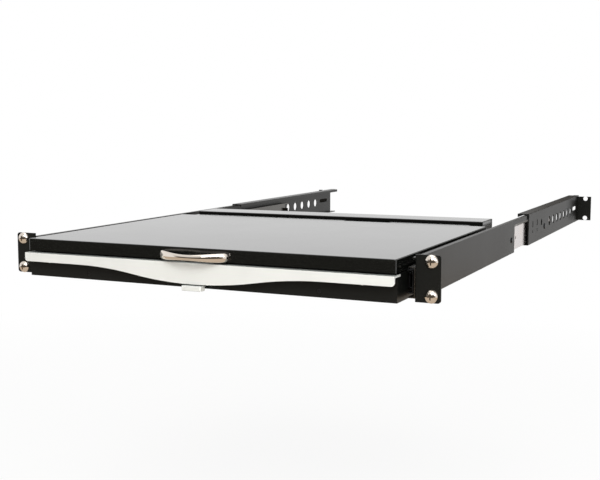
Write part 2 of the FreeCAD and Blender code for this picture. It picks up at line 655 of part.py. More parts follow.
# ---- tray ----------------------------------------------------------------------------------
def tray():
    """Folded steel tray: floor, side walls, low front wall, and rear corners beside the housing."""
    piece = Piece("tray")
    piece.pad("XZ", "tray_front", "tray_rear",
              [(minus(SIDE_X), "tray_bottom"), (SIDE_X, "tray_bottom"), (SIDE_X, "tray_side_top"),
               (TRAY_IN, "tray_side_top"), (TRAY_IN, TRAY_FLOOR), (minus(TRAY_IN), TRAY_FLOOR),
               (minus(TRAY_IN), "tray_side_top"), (minus(SIDE_X), "tray_side_top")])
    piece.pad("XZ", "tray_front", join("tray_front", "tray_sheet"),
              rect(minus(TRAY_IN), TRAY_FLOOR, TRAY_IN, FRONT_WALL_TOP))
    piece.cut("YZ", minus(join(SIDE_X, "1")), join(SIDE_X, "1"),
              [("tray_front - 1", FRONT_WALL_TOP), (join("tray_front", "tray_sheet"), FRONT_WALL_TOP),
               (join("tray_front", "tray_sheet"), "tray_side_top + 1"),
               ("tray_front - 1", "tray_side_top + 1")])
    piece.cut("YZ", minus(join(SIDE_X, "1")), join(SIDE_X, "1"),
              rect("tray_front - 1", TRIM_UNDER, join("tray_front", "trim_ledge"), "tray_side_top + 1"))
    corner = join(MODULE_X, "1")
    for side in (-1, 1):
        low, high = sorted((sided(side, corner), sided(side, TRAY_IN)), key=number)
        piece.pad("XZ", join("tray_rear", minus("tray_sheet")), "tray_rear",
                  rect(low, TRAY_FLOOR, high, "tray_side_top"))
    latch_half = join(half("latch_width"), "1")
    piece.cut("XZ", "tray_front - 1", "tray_front + 2",
              rect(minus(latch_half), TRAY_FLOOR, latch_half, "latch_bottom + latch_height + 1"))
    piece.cut("XZ", "tray_front - 1", "tray_front + 2",
              *[circle(sided(side, "wall_screw_x"), "wall_screw_z", "wall_screw_r") for side in (-1, 1)])
    return piece


def trim():
    """Aluminium front trim: a plate whose lower edge swells down in the middle, with a top ledge."""
    piece = Piece("front_trim")
    low = minus("trim_half")
    run, drop = half("wave_half_length"), half("wave_drop")
    radius = "((%s) ^ 2 + (%s) ^ 2) / (2 * (%s))" % (run, drop, drop)
    middle, deep = join(low, minus(drop)), join(low, minus("wave_drop"))
    near, dip = half(run), join(low, "-1 * ((%s) ^ 2) / (8 * (%s))" % (run, radius))
    outline = [(minus(TRIM_END), low), (minus("wave_half_length"), low),
               (minus(run), middle, minus(join(run, near)), dip, radius),
               (run, middle, "0", deep, radius), ("wave_half_length", low, join(run, near), dip, radius),
               (TRIM_END, low), (TRIM_END, "trim_half"), (minus(TRIM_END), "trim_half")]
    wall_back = join("trim_front", "trim_wall")
    piece.pad("XZ", "trim_front", wall_back, outline)
    piece.pad("XZ", wall_back, join("tray_front", "trim_ledge"),
              rect(minus(TRIM_END), TRIM_UNDER, TRIM_END, "trim_half"))
    piece.pad("XZ", wall_back, join("tray_front", "tray_sheet"),
              *[circle("%g * (%s)" % (share, TRIM_END), "trim_stud_z", "trim_stud_r")
                for share in (-0.85, -0.45, 0, 0.45, 0.85)])
    corner, bottom = number(TRIM_END), number(low)
    piece.fillet("trim_corner", lambda middle, along, edge:
                 abs(along.y) > 0.99 and abs(abs(middle.x) - corner) < 0.01
                 and abs(middle.z - bottom) < 0.01)
    return piece


tray()
trim()


# ---- deck, keyboard and touchpad ------------------------------------------------------------
KEYS_WIDTH = join("%d * (%s)" % (KEY_UNITS, KEY_PITCH), "pad_gap")
KEYS_LEFT = minus(half(KEYS_WIDTH))
KEY_ROWS = (
    ("key_row_space", 0, (1.25, 1.25, 1.25, 6.25, 1.25, 1.25, 1.25, 1.25), (2, 1, 1)),
    ("key_row_shift", 1, (2.25,) + (1,) * 10 + (2.75,), (1,) * 4),
    ("key_row_home", 2, (1.75,) + (1,) * 11 + (2.25,), (1,) * 4),
    ("key_row_letters", 3, (1.5,) + (1,) * 12 + (1.5,), (1,) * 4),
    ("key_row_numbers", 4, (1,) * 13 + (2,), (1,) * 4),
    ("key_row_function", 5, (1, -1) + (1,) * 4 + (-0.5,) + (1,) * 4 + (-0.5,) + (1,) * 4, (1,) * 4),
)


def row_front(row):
    """Front edge of a row of keys; the last row stands apart from the others."""
    gap = "function_gap" if row == 5 else "0"
    return join("keyboard_front", "%d * (%s)" % (row, KEY_PITCH), gap)


def key_row(label, row, widths, pad_widths):
    """One row of tapered key caps; a negative width is a space between keys."""
    piece = Piece(label)
    front = row_front(row)
    outlines = []
    for done, gap, units in ((0, "0", widths), (15, "pad_gap", pad_widths)):
        for unit in units:
            if unit > 0:
                left = join(KEYS_LEFT, gap, "%g * (%s)" % (done, KEY_PITCH), half("key_gap"))
                right = join(left, "%g * (%s)" % (unit, KEY_PITCH), minus("key_gap"))
                outlines.append(rect(left, join(front, half("key_gap")), right,
                                     join(front, KEY_PITCH, minus(half("key_gap")))))
            done += abs(unit)
    feature = piece.pad("XY", join("key_top", minus("key_height")), "key_top", *outlines)
    feature.setExpression("TaperAngle", bound(minus("key_taper")))


def deck():
    """Deck round the keyboard and touchpad, with a front lip that meets the tray's front wall."""
    piece = Piece("deck")
    front = join("tray_front", "tray_sheet")
    piece.pad("XY", DECK_BOTTOM, DECK_TOP, rect(minus(DECK_HALF), front, DECK_HALF, "deck_rear"))
    piece.pad("XZ", front, join(front, "deck_sheet"),
              rect(minus(DECK_HALF), join(FRONT_WALL_TOP, "-3"), DECK_HALF, DECK_BOTTOM))
    well_rear = join(row_front(5), KEY_PITCH)
    piece.cut("XY", join(DECK_BOTTOM, "-1"), join(DECK_TOP, "1"),
              rect(join(KEYS_LEFT, minus(half("key_gap"))), join("keyboard_front", minus(half("key_gap"))),
                   minus(join(KEYS_LEFT, minus(half("key_gap")))), join(well_rear, half("key_gap"))),
              rect(minus(join(half("touchpad_width"), "button_gap")),
                   join("touchpad_front", minus("button_gap")),
                   join(half("touchpad_width"), "button_gap"),
                   join("touchpad_front", "touchpad_depth", "button_gap")),
              rect(minus(join(half("touchpad_width"), "button_gap")),
                   join(PAD_BUTTON_FRONT, minus("button_gap")),
                   join(half("touchpad_width"), "button_gap"),
                   join(PAD_BUTTON_FRONT, "pad_button_depth", "button_gap")))
    return piece


PAD_BUTTON_FRONT = join("touchpad_front", minus("pad_button_gap"), minus("pad_button_depth"))
for row_label, row_index, row_widths, row_pad in KEY_ROWS:
    key_row(row_label, row_index, row_widths, row_pad)
deck()


def keyboard_plate():
    """Steel plate with the switch membrane board under the keys, on four floor posts."""
    piece = Piece("keyboard_plate")
    top = join("key_top", minus("key_height"), minus("key_travel"), minus("plate_clear"))
    edge = "plate_edge"
    under = join(top, minus("board_sheet"))
    piece.pad("XY", under, top,
              rect(join(KEYS_LEFT, minus(edge)), join("keyboard_front", minus(edge)),
                   minus(join(KEYS_LEFT, minus(edge))), join(row_front(5), KEY_PITCH, edge)))
    posts = [(sided(side, "plate_post_x + %d * plate_post_pitch" % step), y)
             for side in (-1, 1) for step in (0, 1)
             for y in ("keyboard_front + plate_post_front", join(row_front(5), "plate_post_rear"))]
    piece.pad("XY", TRAY_FLOOR, under, *[circle(x, y, "plate_post_r") for x, y in posts])


def touchpad():
    piece = Piece("touchpad")
    piece.pad("XY", join(DECK_BOTTOM, "pad_clear"), join(DECK_TOP, minus("pad_sink")),
              rect(minus(half("touchpad_width")), "touchpad_front", half("touchpad_width"),
                   join("touchpad_front", "touchpad_depth")))
    board = Piece("touchpad_board")
    top = join(DECK_BOTTOM, minus("pad_spacer"))
    low = join(top, minus("board_sheet"))
    edge = "pad_board_edge"
    board.pad("XY", low, top,
              rect(minus(join(half("touchpad_width"), edge)), join(PAD_BUTTON_FRONT, minus(edge)),
                   join(half("touchpad_width"), edge), join("touchpad_front", "touchpad_depth", edge)))
    board.pad("XY", top, DECK_BOTTOM,
              rect(minus(half("touchpad_width")), "touchpad_front", half("touchpad_width"),
                   join("touchpad_front", "touchpad_depth")))
    posts = [(sided(side, join(half("touchpad_width"), minus(edge))), y) for side in (-1, 1)
             for y in (join(PAD_BUTTON_FRONT, edge),
                       join("touchpad_front", "touchpad_depth", minus(edge)))]
    board.pad("XY", TRAY_FLOOR, low, *[circle(x, y, "pad_post_r") for x, y in posts])


def touchpad_button(name, side):
    piece = Piece("touchpad_button_" + name)
    low, high = sorted((sided(side, half("button_gap")), sided(side, half("touchpad_width"))),
                       key=number)
    rise = join(DECK_TOP, "pad_button_rise")
    piece.pad("XY", join(DECK_BOTTOM, "press_gap"), rise,
              rect(low, PAD_BUTTON_FRONT, high, join(PAD_BUTTON_FRONT, "pad_button_depth")))
    top = number(rise)
    piece.fillet("pad_button_round", lambda middle, along, edge: abs(middle.z - top) < 0.01)


keyboard_plate()
touchpad()
for side_name, side_sign in SIDES:
    touchpad_button(side_name, side_sign)


# ---- hinges: a barrel of three knuckles at each rear corner --------------------------------
KNUCKLE = "((hinge_length) - 2 * slide_gap) / 3"
HINGE_PLACES = [join(HINGE_X, "%d * (%s)" % (i, join(KNUCKLE, "slide_gap"))) for i in range(3)]
BORE_R = join("hinge_pin_r", "hinge_fit")


def across(side, near, far):
    """The two X limits of something between near and far from the middle, low one first."""
    return (near, far) if side > 0 else (minus(far), minus(near))


def lid_hinge_leaf(name, side):
    """Lid leaf: two knuckles on a flat leaf, with a spacer up to the lid's skin."""
    piece = Piece("lid_hinge_leaf_" + name)
    whole = across(side, HINGE_X, join(HINGE_X, "hinge_length"))
    low, high = join("hinge_z", minus(half("hinge_leaf"))), join("hinge_z", half("hinge_leaf"))
    piece.pad("YZ", whole[0], whole[1], rect("lid_rear - 46", low, "hinge_y - hinge_r - 0.4", high))
    piece.pad("YZ", whole[0], whole[1], rect("lid_rear - 42", high, "lid_rear - 18", LID_SKIN))
    for i in (0, 2):
        ring = across(side, HINGE_PLACES[i], join(HINGE_PLACES[i], KNUCKLE))
        piece.pad("YZ", ring[0], ring[1], rect("hinge_y - hinge_r - 0.5", low, "hinge_y", high))
        piece.pad("YZ", ring[0], ring[1], circle("hinge_y", "hinge_z", "hinge_r"))
    piece.cut("YZ", join(whole[0], "-1"), join(whole[1], "1"), circle("hinge_y", "hinge_z", BORE_R))


def tray_hinge_bracket(name, side):
    """Tray leaf: the middle knuckle on an upright with a foot on the floor."""
    piece = Piece("tray_hinge_bracket_" + name)
    ring = across(side, HINGE_PLACES[1], join(HINGE_PLACES[1], KNUCKLE))
    foot = across(side, HINGE_X, join(HINGE_X, "hinge_length"))
    back = "hinge_y + hinge_r"
    piece.pad("YZ", ring[0], ring[1], rect(join(back, minus("hinge_leaf")), TRAY_FLOOR, back, "hinge_z"))
    piece.pad("YZ", ring[0], ring[1], circle("hinge_y", "hinge_z", "hinge_r"))
    piece.pad("YZ", foot[0], foot[1], rect(join(back, minus("hinge_leaf")), TRAY_FLOOR,
                                           join("module_front", "-1"), join(TRAY_FLOOR, "hinge_leaf")))
    piece.cut("YZ", join(ring[0], "-1"), join(ring[1], "1"), circle("hinge_y", "hinge_z", BORE_R))


def hinge_pins():
    piece = Piece("hinge_pins")
    for side in (-1, 1):
        low, high = across(side, HINGE_X, join(HINGE_X, "hinge_length"))
        piece.pad("YZ", low, high, circle("hinge_y", "hinge_z", "hinge_pin_r"))


for side_name, side_sign in SIDES:
    lid_hinge_leaf(side_name, side_sign)
    tray_hinge_bracket(side_name, side_sign)
hinge_pins()


# ---- lid -----------------------------------------------------------------------------------
def lid_outline(inset):
    """Plan of the lid: a rectangle with hinge notches and a cable notch in its rear edge."""
    side, front = join(SIDE_X, minus(inset)), join("lid_front", inset)
    rear = join("lid_rear", minus(inset))
    notch = join("lid_rear", minus("notch_depth"), minus(inset))
    hinge = join(HINGE_X, "-1", minus(inset))
    cable = (join("cable_notch_x", half("cable_notch_width"), inset),
             join("cable_notch_x", minus(half("cable_notch_width")), minus(inset)))
    return [(minus(side), front), (side, front), (side, notch), (hinge, notch), (hinge, rear),
            (cable[0], rear), (cable[0], notch), (cable[1], notch), (cable[1], rear),
            (minus(hinge), rear), (minus(hinge), notch), (minus(side), notch)]


OSD_X = join(half(PANEL_WIDTH), "13")
OSD_PLACES = ["panel_centre - 40 + %d" % (14 * i) for i in range(4)]
POWER_Y = "panel_centre + 34"
LED_Y = "panel_centre + 46"
OSD_R = "3"
POWER_R = "4"
LED_R = "1.5"
PRESS = "0.5"


def lid_cover():
    """Pressed steel cover, open below, with slots for the hinge leaves."""
    piece = Piece("lid_cover")
    piece.pad("XY", "lid_bottom", "lid_top", lid_outline("0"))
    piece.cut("XY", "lid_bottom", LID_SKIN, lid_outline("lid_sheet"))
    for side in (-1, 1):
        low, high = across(side, join(HINGE_X, "-0.5"), join(HINGE_X, "hinge_length", "0.5"))
        leaf = join(half("hinge_leaf"), "slide_gap")
        piece.cut("XZ", "lid_rear - notch_depth - lid_sheet - 0.1", "lid_rear - notch_depth + 0.1",
                  rect(low, join("hinge_z", minus(leaf)), high, join("hinge_z", leaf)))
    piece.cut("XZ", "lid_front - 0.1", "lid_front + lid_sheet + 0.1",
              *[circle(sided(side, "handle_half_width"), "handle_z", "1.8") for side in (-1, 1)])
    front, edge = number("lid_front"), number(SIDE_X)
    piece.fillet("lid_corner", lambda middle, along, item:
                 abs(along.z) > 0.99 and abs(middle.y - front) < 0.01
                 and abs(abs(middle.x) - edge) < 0.01)
    top = number("lid_top")
    piece.fillet("0.8", lambda middle, along, item:
                 abs(middle.z - top) < 0.01 and middle.y < front + 1)


def lid_bezel():
    piece = Piece("lid_bezel")
    piece.pad("XY", "lid_bottom", BEZEL_TOP, lid_outline("lid_sheet + slide_gap"))
    piece.cut("XY", "lid_bottom - 1", join(BEZEL_TOP, "1"),
              centred("0", "panel_centre", VIEW_WIDTH, "view_depth"),
              circle(OSD_X, POWER_Y, join(POWER_R, "slide_gap")),
              circle(OSD_X, LED_Y, join(LED_R, "0.1")),
              *[circle(OSD_X, y, join(OSD_R, "slide_gap")) for y in OSD_PLACES])
    front = number(join("panel_centre", minus(half("view_depth"))))
    low = number("lid_bottom")
    wide = number(half(VIEW_WIDTH))
    deep = number(half("view_depth"))
    centre = number("panel_centre")
    piece.chamfer("1.2", lambda middle, along, item:
                  abs(middle.z - low) < 0.01 and abs(middle.x) < wide + 0.01
                  and abs(middle.y - centre) < deep + 0.01 and item.Length > 100)


def display():
    """Display module, its glass, the steel side brackets and the driver board."""
    glass = Piece("display_glass")
    glass_top = join(BEZEL_TOP, "glass_sheet")
    glass.pad("XY", BEZEL_TOP, glass_top,
              centred("0", "panel_centre", join(PANEL_WIDTH, "-4"), "panel_depth - 4"))
    module = Piece("display_module")
    module.pad("XY", glass_top, join(glass_top, "panel_height"),
               centred("0", "panel_centre", PANEL_WIDTH, "panel_depth"))
    top = number(join(glass_top, "panel_height"))
    module.chamfer("2", lambda middle, along, item: abs(middle.z - top) < 0.01)
    brackets = Piece("display_brackets")
    near, far = join(half(PANEL_WIDTH), "slide_gap"), join(half(PANEL_WIDTH), "6.5")
    web = join(half(PANEL_WIDTH), "slide_gap", "1")
    for side in (-1, 1):
        outline = [(near, join(BEZEL_TOP, "0.2")), (near, LID_SKIN), (far, LID_SKIN),
                   (far, join(LID_SKIN, "-1")), (web, join(LID_SKIN, "-1")),
                   (web, join(BEZEL_TOP, "0.2"))]
        brackets.pad("XZ", join("panel_centre", "-132"), join("panel_centre", "112"),
                     [(sided(side, x), z) for x, z in outline])
    board = Piece("display_board")
    left = minus(join(half(PANEL_WIDTH), "24"))
    right = minus(join(half(PANEL_WIDTH), "9"))
    under = join(LID_SKIN, "-5")
    board.pad("XY", under, join(under, "board_sheet"), rect(left, "40", right, "210"))
    board.pad("XY", join(under, "-2.4"), under,
              *[rect(join(left, "3"), "%d" % y, join(right, "-3"), "%d" % (y + 16)) for y in (60, 110, 160)])
    board.pad("XY", join(under, "board_sheet"), LID_SKIN,
              *[circle(join(left, "7.5"), y, "2") for y in ("46", "125", "204")])


def lid_buttons():
    """Display buttons and power button beside the picture, their board, and the power lamp."""
    outside = join("lid_bottom", "-0.8")
    inside = join(BEZEL_TOP, "0.7")
    osd = Piece("display_buttons")
    osd.pad("XY", outside, inside, *[circle(OSD_X, y, OSD_R) for y in OSD_PLACES])
    power = Piece("power_button")
    power.pad("XY", outside, inside, circle(OSD_X, POWER_Y, POWER_R))
    low = number(outside)
    for piece in (osd, power):
        piece.chamfer("0.6", lambda middle, along, item: abs(middle.z - low) < 0.01)
    lamp = Piece("power_lamp")
    lamp.pad("XY", "lid_bottom", join(inside, PRESS), circle(OSD_X, LED_Y, LED_R))
    board = Piece("button_board")
    floor = join(inside, PRESS, "0.1")
    board.pad("XY", floor, join(floor, "board_sheet"),
              rect(join(OSD_X, "-6"), "panel_centre - 50", join(OSD_X, "8"), "panel_centre + 52"))
    board.pad("XY", BEZEL_TOP, floor,
              *[circle(join(OSD_X, "5"), y, "1.6") for y in ("panel_centre - 47", "panel_centre + 16")])


def handle():
    """Bow handle: an arc of flat bar that turns in to its two feet and narrows in the middle."""
    piece = Piece("handle")
    reach, turn = "handle_reach - handle_bar / 2", "10"
    foot = join("handle_half_width", minus(turn))
    radius = "((%s) ^ 2 + (%s) ^ 2 - (%s) ^ 2) / (2 * (%s))" % (
        foot, reach, turn, join(reach, minus(turn)))
    span = join(radius, minus(turn))
    unit_x = "-1 * (%s) / (%s)" % (foot, span)
    unit_y = "((%s) - (%s)) / (%s)" % (reach, radius, span)

    length = "((%s - 1) ^ 2 + (%s) ^ 2) ^ 0.5" % (unit_x, unit_y)

    def bend(offset):
        """Radii, ends and middles of the arcs that run this far outside the bar's centre line."""
        small, large = join(turn, offset), join(radius, offset)
        tangent_x = join(minus(foot), "(%s) * (%s)" % (small, unit_x))
        tangent_y = join("lid_front", "(%s) * (%s)" % (small, unit_y))
        start_x = minus(join("handle_half_width", offset))
        crown_y = join("lid_front", minus(reach), minus(offset))
        via_x = join(minus(foot), "(%s) * (%s - 1) / (%s)" % (small, unit_x, length))
        via_y = join("lid_front", "(%s) * (%s) / (%s)" % (small, unit_y, length))
        return small, large, tangent_x, tangent_y, start_x, crown_y, via_x, via_y

    small, large, tx, ty, sx, crown, vx, vy = bend("handle_bar / 2")
    outline = [(sx, "lid_front"), (tx, ty, vx, vy, small), (minus(tx), ty, "0", crown, large),
               (minus(sx), "lid_front", minus(vx), vy, small)]
    small, large, tx, ty, sx, crown, vx, vy = bend("-1 * handle_bar / 2")
    outline += [(minus(sx), "lid_front"), (minus(tx), ty, minus(vx), vy, small),
                (tx, ty, "0", crown, large), (sx, "lid_front", vx, vy, small)]
    bottom = join("handle_z", minus(half("handle_end_height")))
    top = join("handle_z", half("handle_end_height"))
    piece.pad("XY", bottom, top, outline)
    wide = join("handle_half_width", "handle_bar")
    rise = half(join("handle_end_height", minus("handle_mid_height")))
    waist = "((%s) ^ 2 + (%s) ^ 2) / (2 * (%s))" % (wide, rise, rise)
    lens = []
    for up, level in ((1, top), (-1, bottom)):
        far = join(level, sided(up, "2"))
        lens.append([(minus(wide), far), (minus(wide), level),
                     (wide, level, "0", join(level, sided(-up, rise)), waist), (wide, far)])
    piece.cut("XZ", "lid_front - handle_reach - 1", "lid_front", *lens)
    piece.cut("XZ", "lid_front - 5", "lid_front",
              *[circle(sided(side, "handle_half_width"), "handle_z", "1.7") for side in (-1, 1)])
    face = number("lid_front")
    piece.fillet("1.3", lambda middle, along, item:
                 abs(along.z) < 0.7 and middle.y < face - 1 and item.Length > 5)
    screws = Piece("handle_screws")
    places = [(sided(side, "handle_half_width"), "handle_z") for side in (-1, 1)]
    inside = join("lid_front", "lid_sheet")
    screws.pad("XZ", inside, join(inside, "2"), *[circle(x, z, "3") for x, z in places])
    screws.pad("XZ", "lid_front - 4.5", inside, *[circle(x, z, "1.6") for x, z in places])


def bumpers():
    piece = Piece("lid_bumpers")
    places = [(sided(side, join(SIDE_X, "-13")), y) for side in (-1, 1) for y in ("4", "282")]
    piece.pad("XY", DECK_TOP, join("lid_bottom", "-0.3"), *[circle(x, y, "4") for x, y in places])
    top = number(join("lid_bottom", "-0.3"))
    piece.chamfer("1", lambda middle, along, item: abs(middle.z - top) < 0.01)


lid_cover()
lid_bezel()
display()
lid_buttons()
handle()
bumpers()


# ---- connector housing at the rear ----------------------------------------------------------
VIDEO_X = "-70"
USB_PLACES = ("0", "22")
POWER_X = "80"
PORT_Z = "-2"
BOARD_TOP = join(PORT_Z, "-6.5")


def connector_housing():
    piece = Piece("connector_housing")
    side = MODULE_X
    piece.pad("XY", TRAY_FLOOR, "module_top", rect(minus(side), "module_front", side, "tray_rear"))
    piece.cut("XY", TRAY_FLOOR, join("module_top", minus("module_sheet")),
              rect(minus(join(side, minus("module_sheet"))), join("module_front", "module_sheet"),
                   join(side, minus("module_sheet")), join("tray_rear", minus("module_sheet"))))
    openings = [centred(VIDEO_X, PORT_Z, "18", "9.4"), circle(POWER_X, PORT_Z, "4.6")]
    openings += [centred(x, PORT_Z, "13.9", "6.5") for x in USB_PLACES]
    openings += [circle(join(VIDEO_X, x), PORT_Z, "1.7") for x in ("-12.5", "12.5")]
    piece.cut("XZ", "tray_rear - module_sheet - 0.1", "tray_rear + 0.1", *openings)
    top = number("module_top")
    piece.fillet("1", lambda middle, along, item: abs(middle.z - top) < 0.01)


def connectors():
    """Video socket with its jack screws, two USB sockets, the power inlet, and their board."""
    wall = join("tray_rear", minus("module_sheet"))
    video = Piece("video_socket")
    video.pad("XZ", "tray_rear", "tray_rear + 0.8", centred(VIDEO_X, PORT_Z, "31", "12.6"))
    shell = [(join(VIDEO_X, x), join(PORT_Z, z)) for x, z in
             (("-8.2", "4.2"), ("-7", "-4.2"), ("7", "-4.2"), ("8.2", "4.2"))]
    video.pad("XZ", "tray_rear + 0.8", "tray_rear + 6.4", shell)
    video.pad("XZ", "tray_rear - 12", "tray_rear", centred(VIDEO_X, PORT_Z, "16.8", "8.4"))
    video.cut("XZ", "tray_rear + 3", "tray_rear + 6.5",
              *[centred(join(VIDEO_X, "%g" % (2.3 * i - 4.6 - 1.1 * (row % 2))),
                        join(PORT_Z, "%g" % (2 * row - 2)), "0.9", "0.9")
                for row in range(3) for i in range(5)])
    video.cut("XZ", "tray_rear - 0.1", "tray_rear + 0.9",
              *[circle(join(VIDEO_X, x), PORT_Z, "1.7") for x in ("-12.5", "12.5")])
    jacks = Piece("jack_screws")
    for start, end, radius in (("tray_rear + 0.8", "tray_rear + 5.6", "2.6"),
                               ("tray_rear - 4", "tray_rear + 0.8", "1.5")):
        jacks.pad("XZ", start, end, *[circle(join(VIDEO_X, x), PORT_Z, radius) for x in ("-12.5", "12.5")])
    usb = Piece("usb_sockets")
    usb.pad("XZ", "tray_rear - 13", "tray_rear + 0.6",
            *[centred(x, PORT_Z, "13.3", "5.9") for x in USB_PLACES])
    usb.cut("XZ", "tray_rear - 9", "tray_rear + 0.7",
            *[centred(x, PORT_Z, "12.5", "5.1") for x in USB_PLACES])
    tongues = Piece("usb_tongues")
    tongues.pad("XZ", "tray_rear - 9", "tray_rear",
                *[centred(x, join(PORT_Z, "1.1"), "11", "1.8") for x in USB_PLACES])
    inlet = Piece("power_inlet")
    inlet.pad("XZ", "tray_rear - 12", "tray_rear + 1", circle(POWER_X, PORT_Z, "4.4"))
    inlet.cut("XZ", "tray_rear - 9", "tray_rear + 1.1", circle(POWER_X, PORT_Z, "3.2"))
    inlet.pad("XZ", "tray_rear - 9", "tray_rear", circle(POWER_X, PORT_Z, "1"))
    board = Piece("connector_board")
    board.pad("XY", join(BOARD_TOP, minus("board_sheet")), BOARD_TOP,
              rect(minus(join(MODULE_X, "-11")), "module_front + 4", join(MODULE_X, "-11"), "tray_rear - 4"))
    board.pad("XY", BOARD_TOP, join(BOARD_TOP, "2.3"),
              rect(join(VIDEO_X, "-8"), "tray_rear - 12", join(VIDEO_X, "8"), "tray_rear - 4"))
    board.pad("XY", BOARD_TOP, join(BOARD_TOP, "2"),
              rect(join(POWER_X, "-4"), "tray_rear - 12", join(POWER_X, "4"), "tray_rear - 4"))
    board.pad("XY", BOARD_TOP, join(BOARD_TOP, "3.55"),
              *[rect(join(x, "-6"), "tray_rear - 12", join(x, "6"), "tray_rear - 4") for x in USB_PLACES])
    board.pad("XY", BOARD_TOP, join(BOARD_TOP, "3"),
              *[rect("%d" % x, "module_front + 8", "%d" % (x + 16), "module_front + 24")
                for x in (-140, -100, 30, 120)])
    posts = [("%d * (%s)" % (side, join(MODULE_X, "-23")), y) for side in (-1, 0, 1)
             for y in ("module_front + 9", "tray_rear - 9")]
    board.pad("XY", TRAY_FLOOR, join(BOARD_TOP, minus("board_sheet")),
              *[circle(x, y, "pad_post_r") for x, y in posts])


# ---- latch and front screws ----------------------------------------------------------------
def latch():
    """Sprung tab under the front edge, on a tongue that runs under a bridge on the floor."""
    piece = Piece("latch_tab")
    piece.pad("XY", "latch_bottom", "latch_bottom + latch_height",
              rect(minus(half("latch_width")), "latch_front", half("latch_width"),
                   "latch_front + latch_depth"))
    tongue_low = join(TRAY_FLOOR, "slide_gap")
    tongue_high = join(tongue_low, "tongue_sheet")
    piece.pad("XY", tongue_low, tongue_high,
              rect(minus("tongue_half"), "latch_front + latch_depth", "tongue_half", "tongue_end"))
    piece.pad("XY", tongue_high, join(tongue_high, "tongue_catch_height"),
              rect(minus("tongue_half"), "tongue_end - tongue_catch", "tongue_half", "tongue_end"))
    face = number("latch_front")
    piece.fillet("1.5", lambda middle, along, item: abs(along.z) > 0.99 and middle.y < face + 0.1)
    guide = Piece("latch_guide")
    inner = join("tongue_half", "guide_clear")
    outer = join(inner, "guide_foot")
    clear = join(tongue_high, "slide_gap")
    roof = join(clear, "guide_sheet")
    arch = [(minus(outer), TRAY_FLOOR), (minus(inner), TRAY_FLOOR), (minus(inner), clear),
            (inner, clear), (inner, TRAY_FLOOR), (outer, TRAY_FLOOR), (outer, roof),
            (minus(outer), roof)]
    guide.pad("XZ", "guide_front", "guide_rear", arch)


def front_screws():
    """Two screws in the tray's front wall, each in a clinch nut behind it."""
    piece = Piece("front_screws")
    places = [(sided(side, "wall_screw_x"), "wall_screw_z") for side in (-1, 1)]
    wall_back = "tray_front + tray_sheet"
    piece.pad("XZ", "tray_front + wall_screw_sink", wall_back,
              *[circle(x, z, "wall_screw_r - wall_screw_fit") for x, z in places])
    piece.pad("XZ", wall_back, join(wall_back, "clinch_nut_height"),
              *[circle(x, z, "clinch_nut_r") for x, z in places])


connector_housing()
connectors()
latch()
front_screws()

# ---- write the pieces ----------------------------------------------------------------------
doc.recompute()
for item in doc.Objects:
    if "Invalid" in item.State or "Error" in item.State:
        raise RuntimeError("%s failed: %s" % (item.Name, item.State))
os.makedirs("parts", exist_ok=True)
for label, piece in parts.items():
    shape = piece.Shape
    if shape.isNull() or not shape.isValid():
        raise RuntimeError("%s has no valid shape" % label)
    shape.exportStep("parts/%s.step" % label)
print(len(parts), "pieces written")
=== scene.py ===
import json
import math
import bpy
from mathutils import Matrix, Vector


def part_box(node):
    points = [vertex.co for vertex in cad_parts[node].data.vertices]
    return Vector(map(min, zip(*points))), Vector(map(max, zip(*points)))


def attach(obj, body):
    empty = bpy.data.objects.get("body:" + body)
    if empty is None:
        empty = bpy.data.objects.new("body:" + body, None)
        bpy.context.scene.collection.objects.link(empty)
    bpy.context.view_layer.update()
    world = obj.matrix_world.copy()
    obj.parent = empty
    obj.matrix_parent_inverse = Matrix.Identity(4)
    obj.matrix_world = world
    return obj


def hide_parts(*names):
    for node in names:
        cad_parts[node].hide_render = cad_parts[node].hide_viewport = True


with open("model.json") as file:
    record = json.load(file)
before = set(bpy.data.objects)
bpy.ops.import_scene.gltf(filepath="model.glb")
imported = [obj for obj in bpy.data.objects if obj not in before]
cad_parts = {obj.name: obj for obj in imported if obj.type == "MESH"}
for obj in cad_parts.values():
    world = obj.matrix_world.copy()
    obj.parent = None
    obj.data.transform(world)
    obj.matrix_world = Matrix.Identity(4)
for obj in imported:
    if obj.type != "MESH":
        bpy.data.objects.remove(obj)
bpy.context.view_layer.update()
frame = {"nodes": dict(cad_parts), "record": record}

MM = 0.001
scene = bpy.context.scene
nodes, record = frame["nodes"], frame["record"]


# ---- colours and materials ----------------------------------------------------------------
# A pattern too fine to show, such as grit, rolling lines or the grain of a coat, is drawn about
# five times as coarse as the real one. Scales come from sizes in millimetres.
COLOURS = {"data_type": "RGBA"}     # a Mix node then has its colours at 6 and 7, the mix at 2
TIMES = {"operation": "MULTIPLY"}
LARGER = {"operation": "MAXIMUM"}


def colour(code):
    """A linear RGBA colour from an sRGB hex value."""
    channels = [int(code[i:i + 2], 16) / 255 for i in (1, 3, 5)]
    linear = [c / 12.92 if c <= 0.04045 else ((c + 0.055) / 1.055) ** 2.4 for c in channels]
    return (*linear, 1)


def node(tree, kind, settings=None, **sockets):
    """Adds a node; a socket gets a value, or a link where (node, output) is given. A socket
    is named by its name, or by its number where several have the same name."""
    made = tree.nodes.new("ShaderNode" + kind)
    for name, value in (settings or {}).items():
        setattr(made, name, value)
    for name, value in sockets.items():
        socket = made.inputs[int(name[1:]) if name[1:].isdigit() else name.replace("_", " ")]
        if isinstance(value, tuple) and isinstance(value[0], bpy.types.Node):
            tree.links.new(value[0].outputs[value[1]], socket)
        else:
            socket.default_value = value
    return made


def blank(name):
    """A new material with an empty node tree."""
    made = bpy.data.materials.new(name)
    made.use_nodes = True
    made.node_tree.nodes.clear()
    return made, made.node_tree


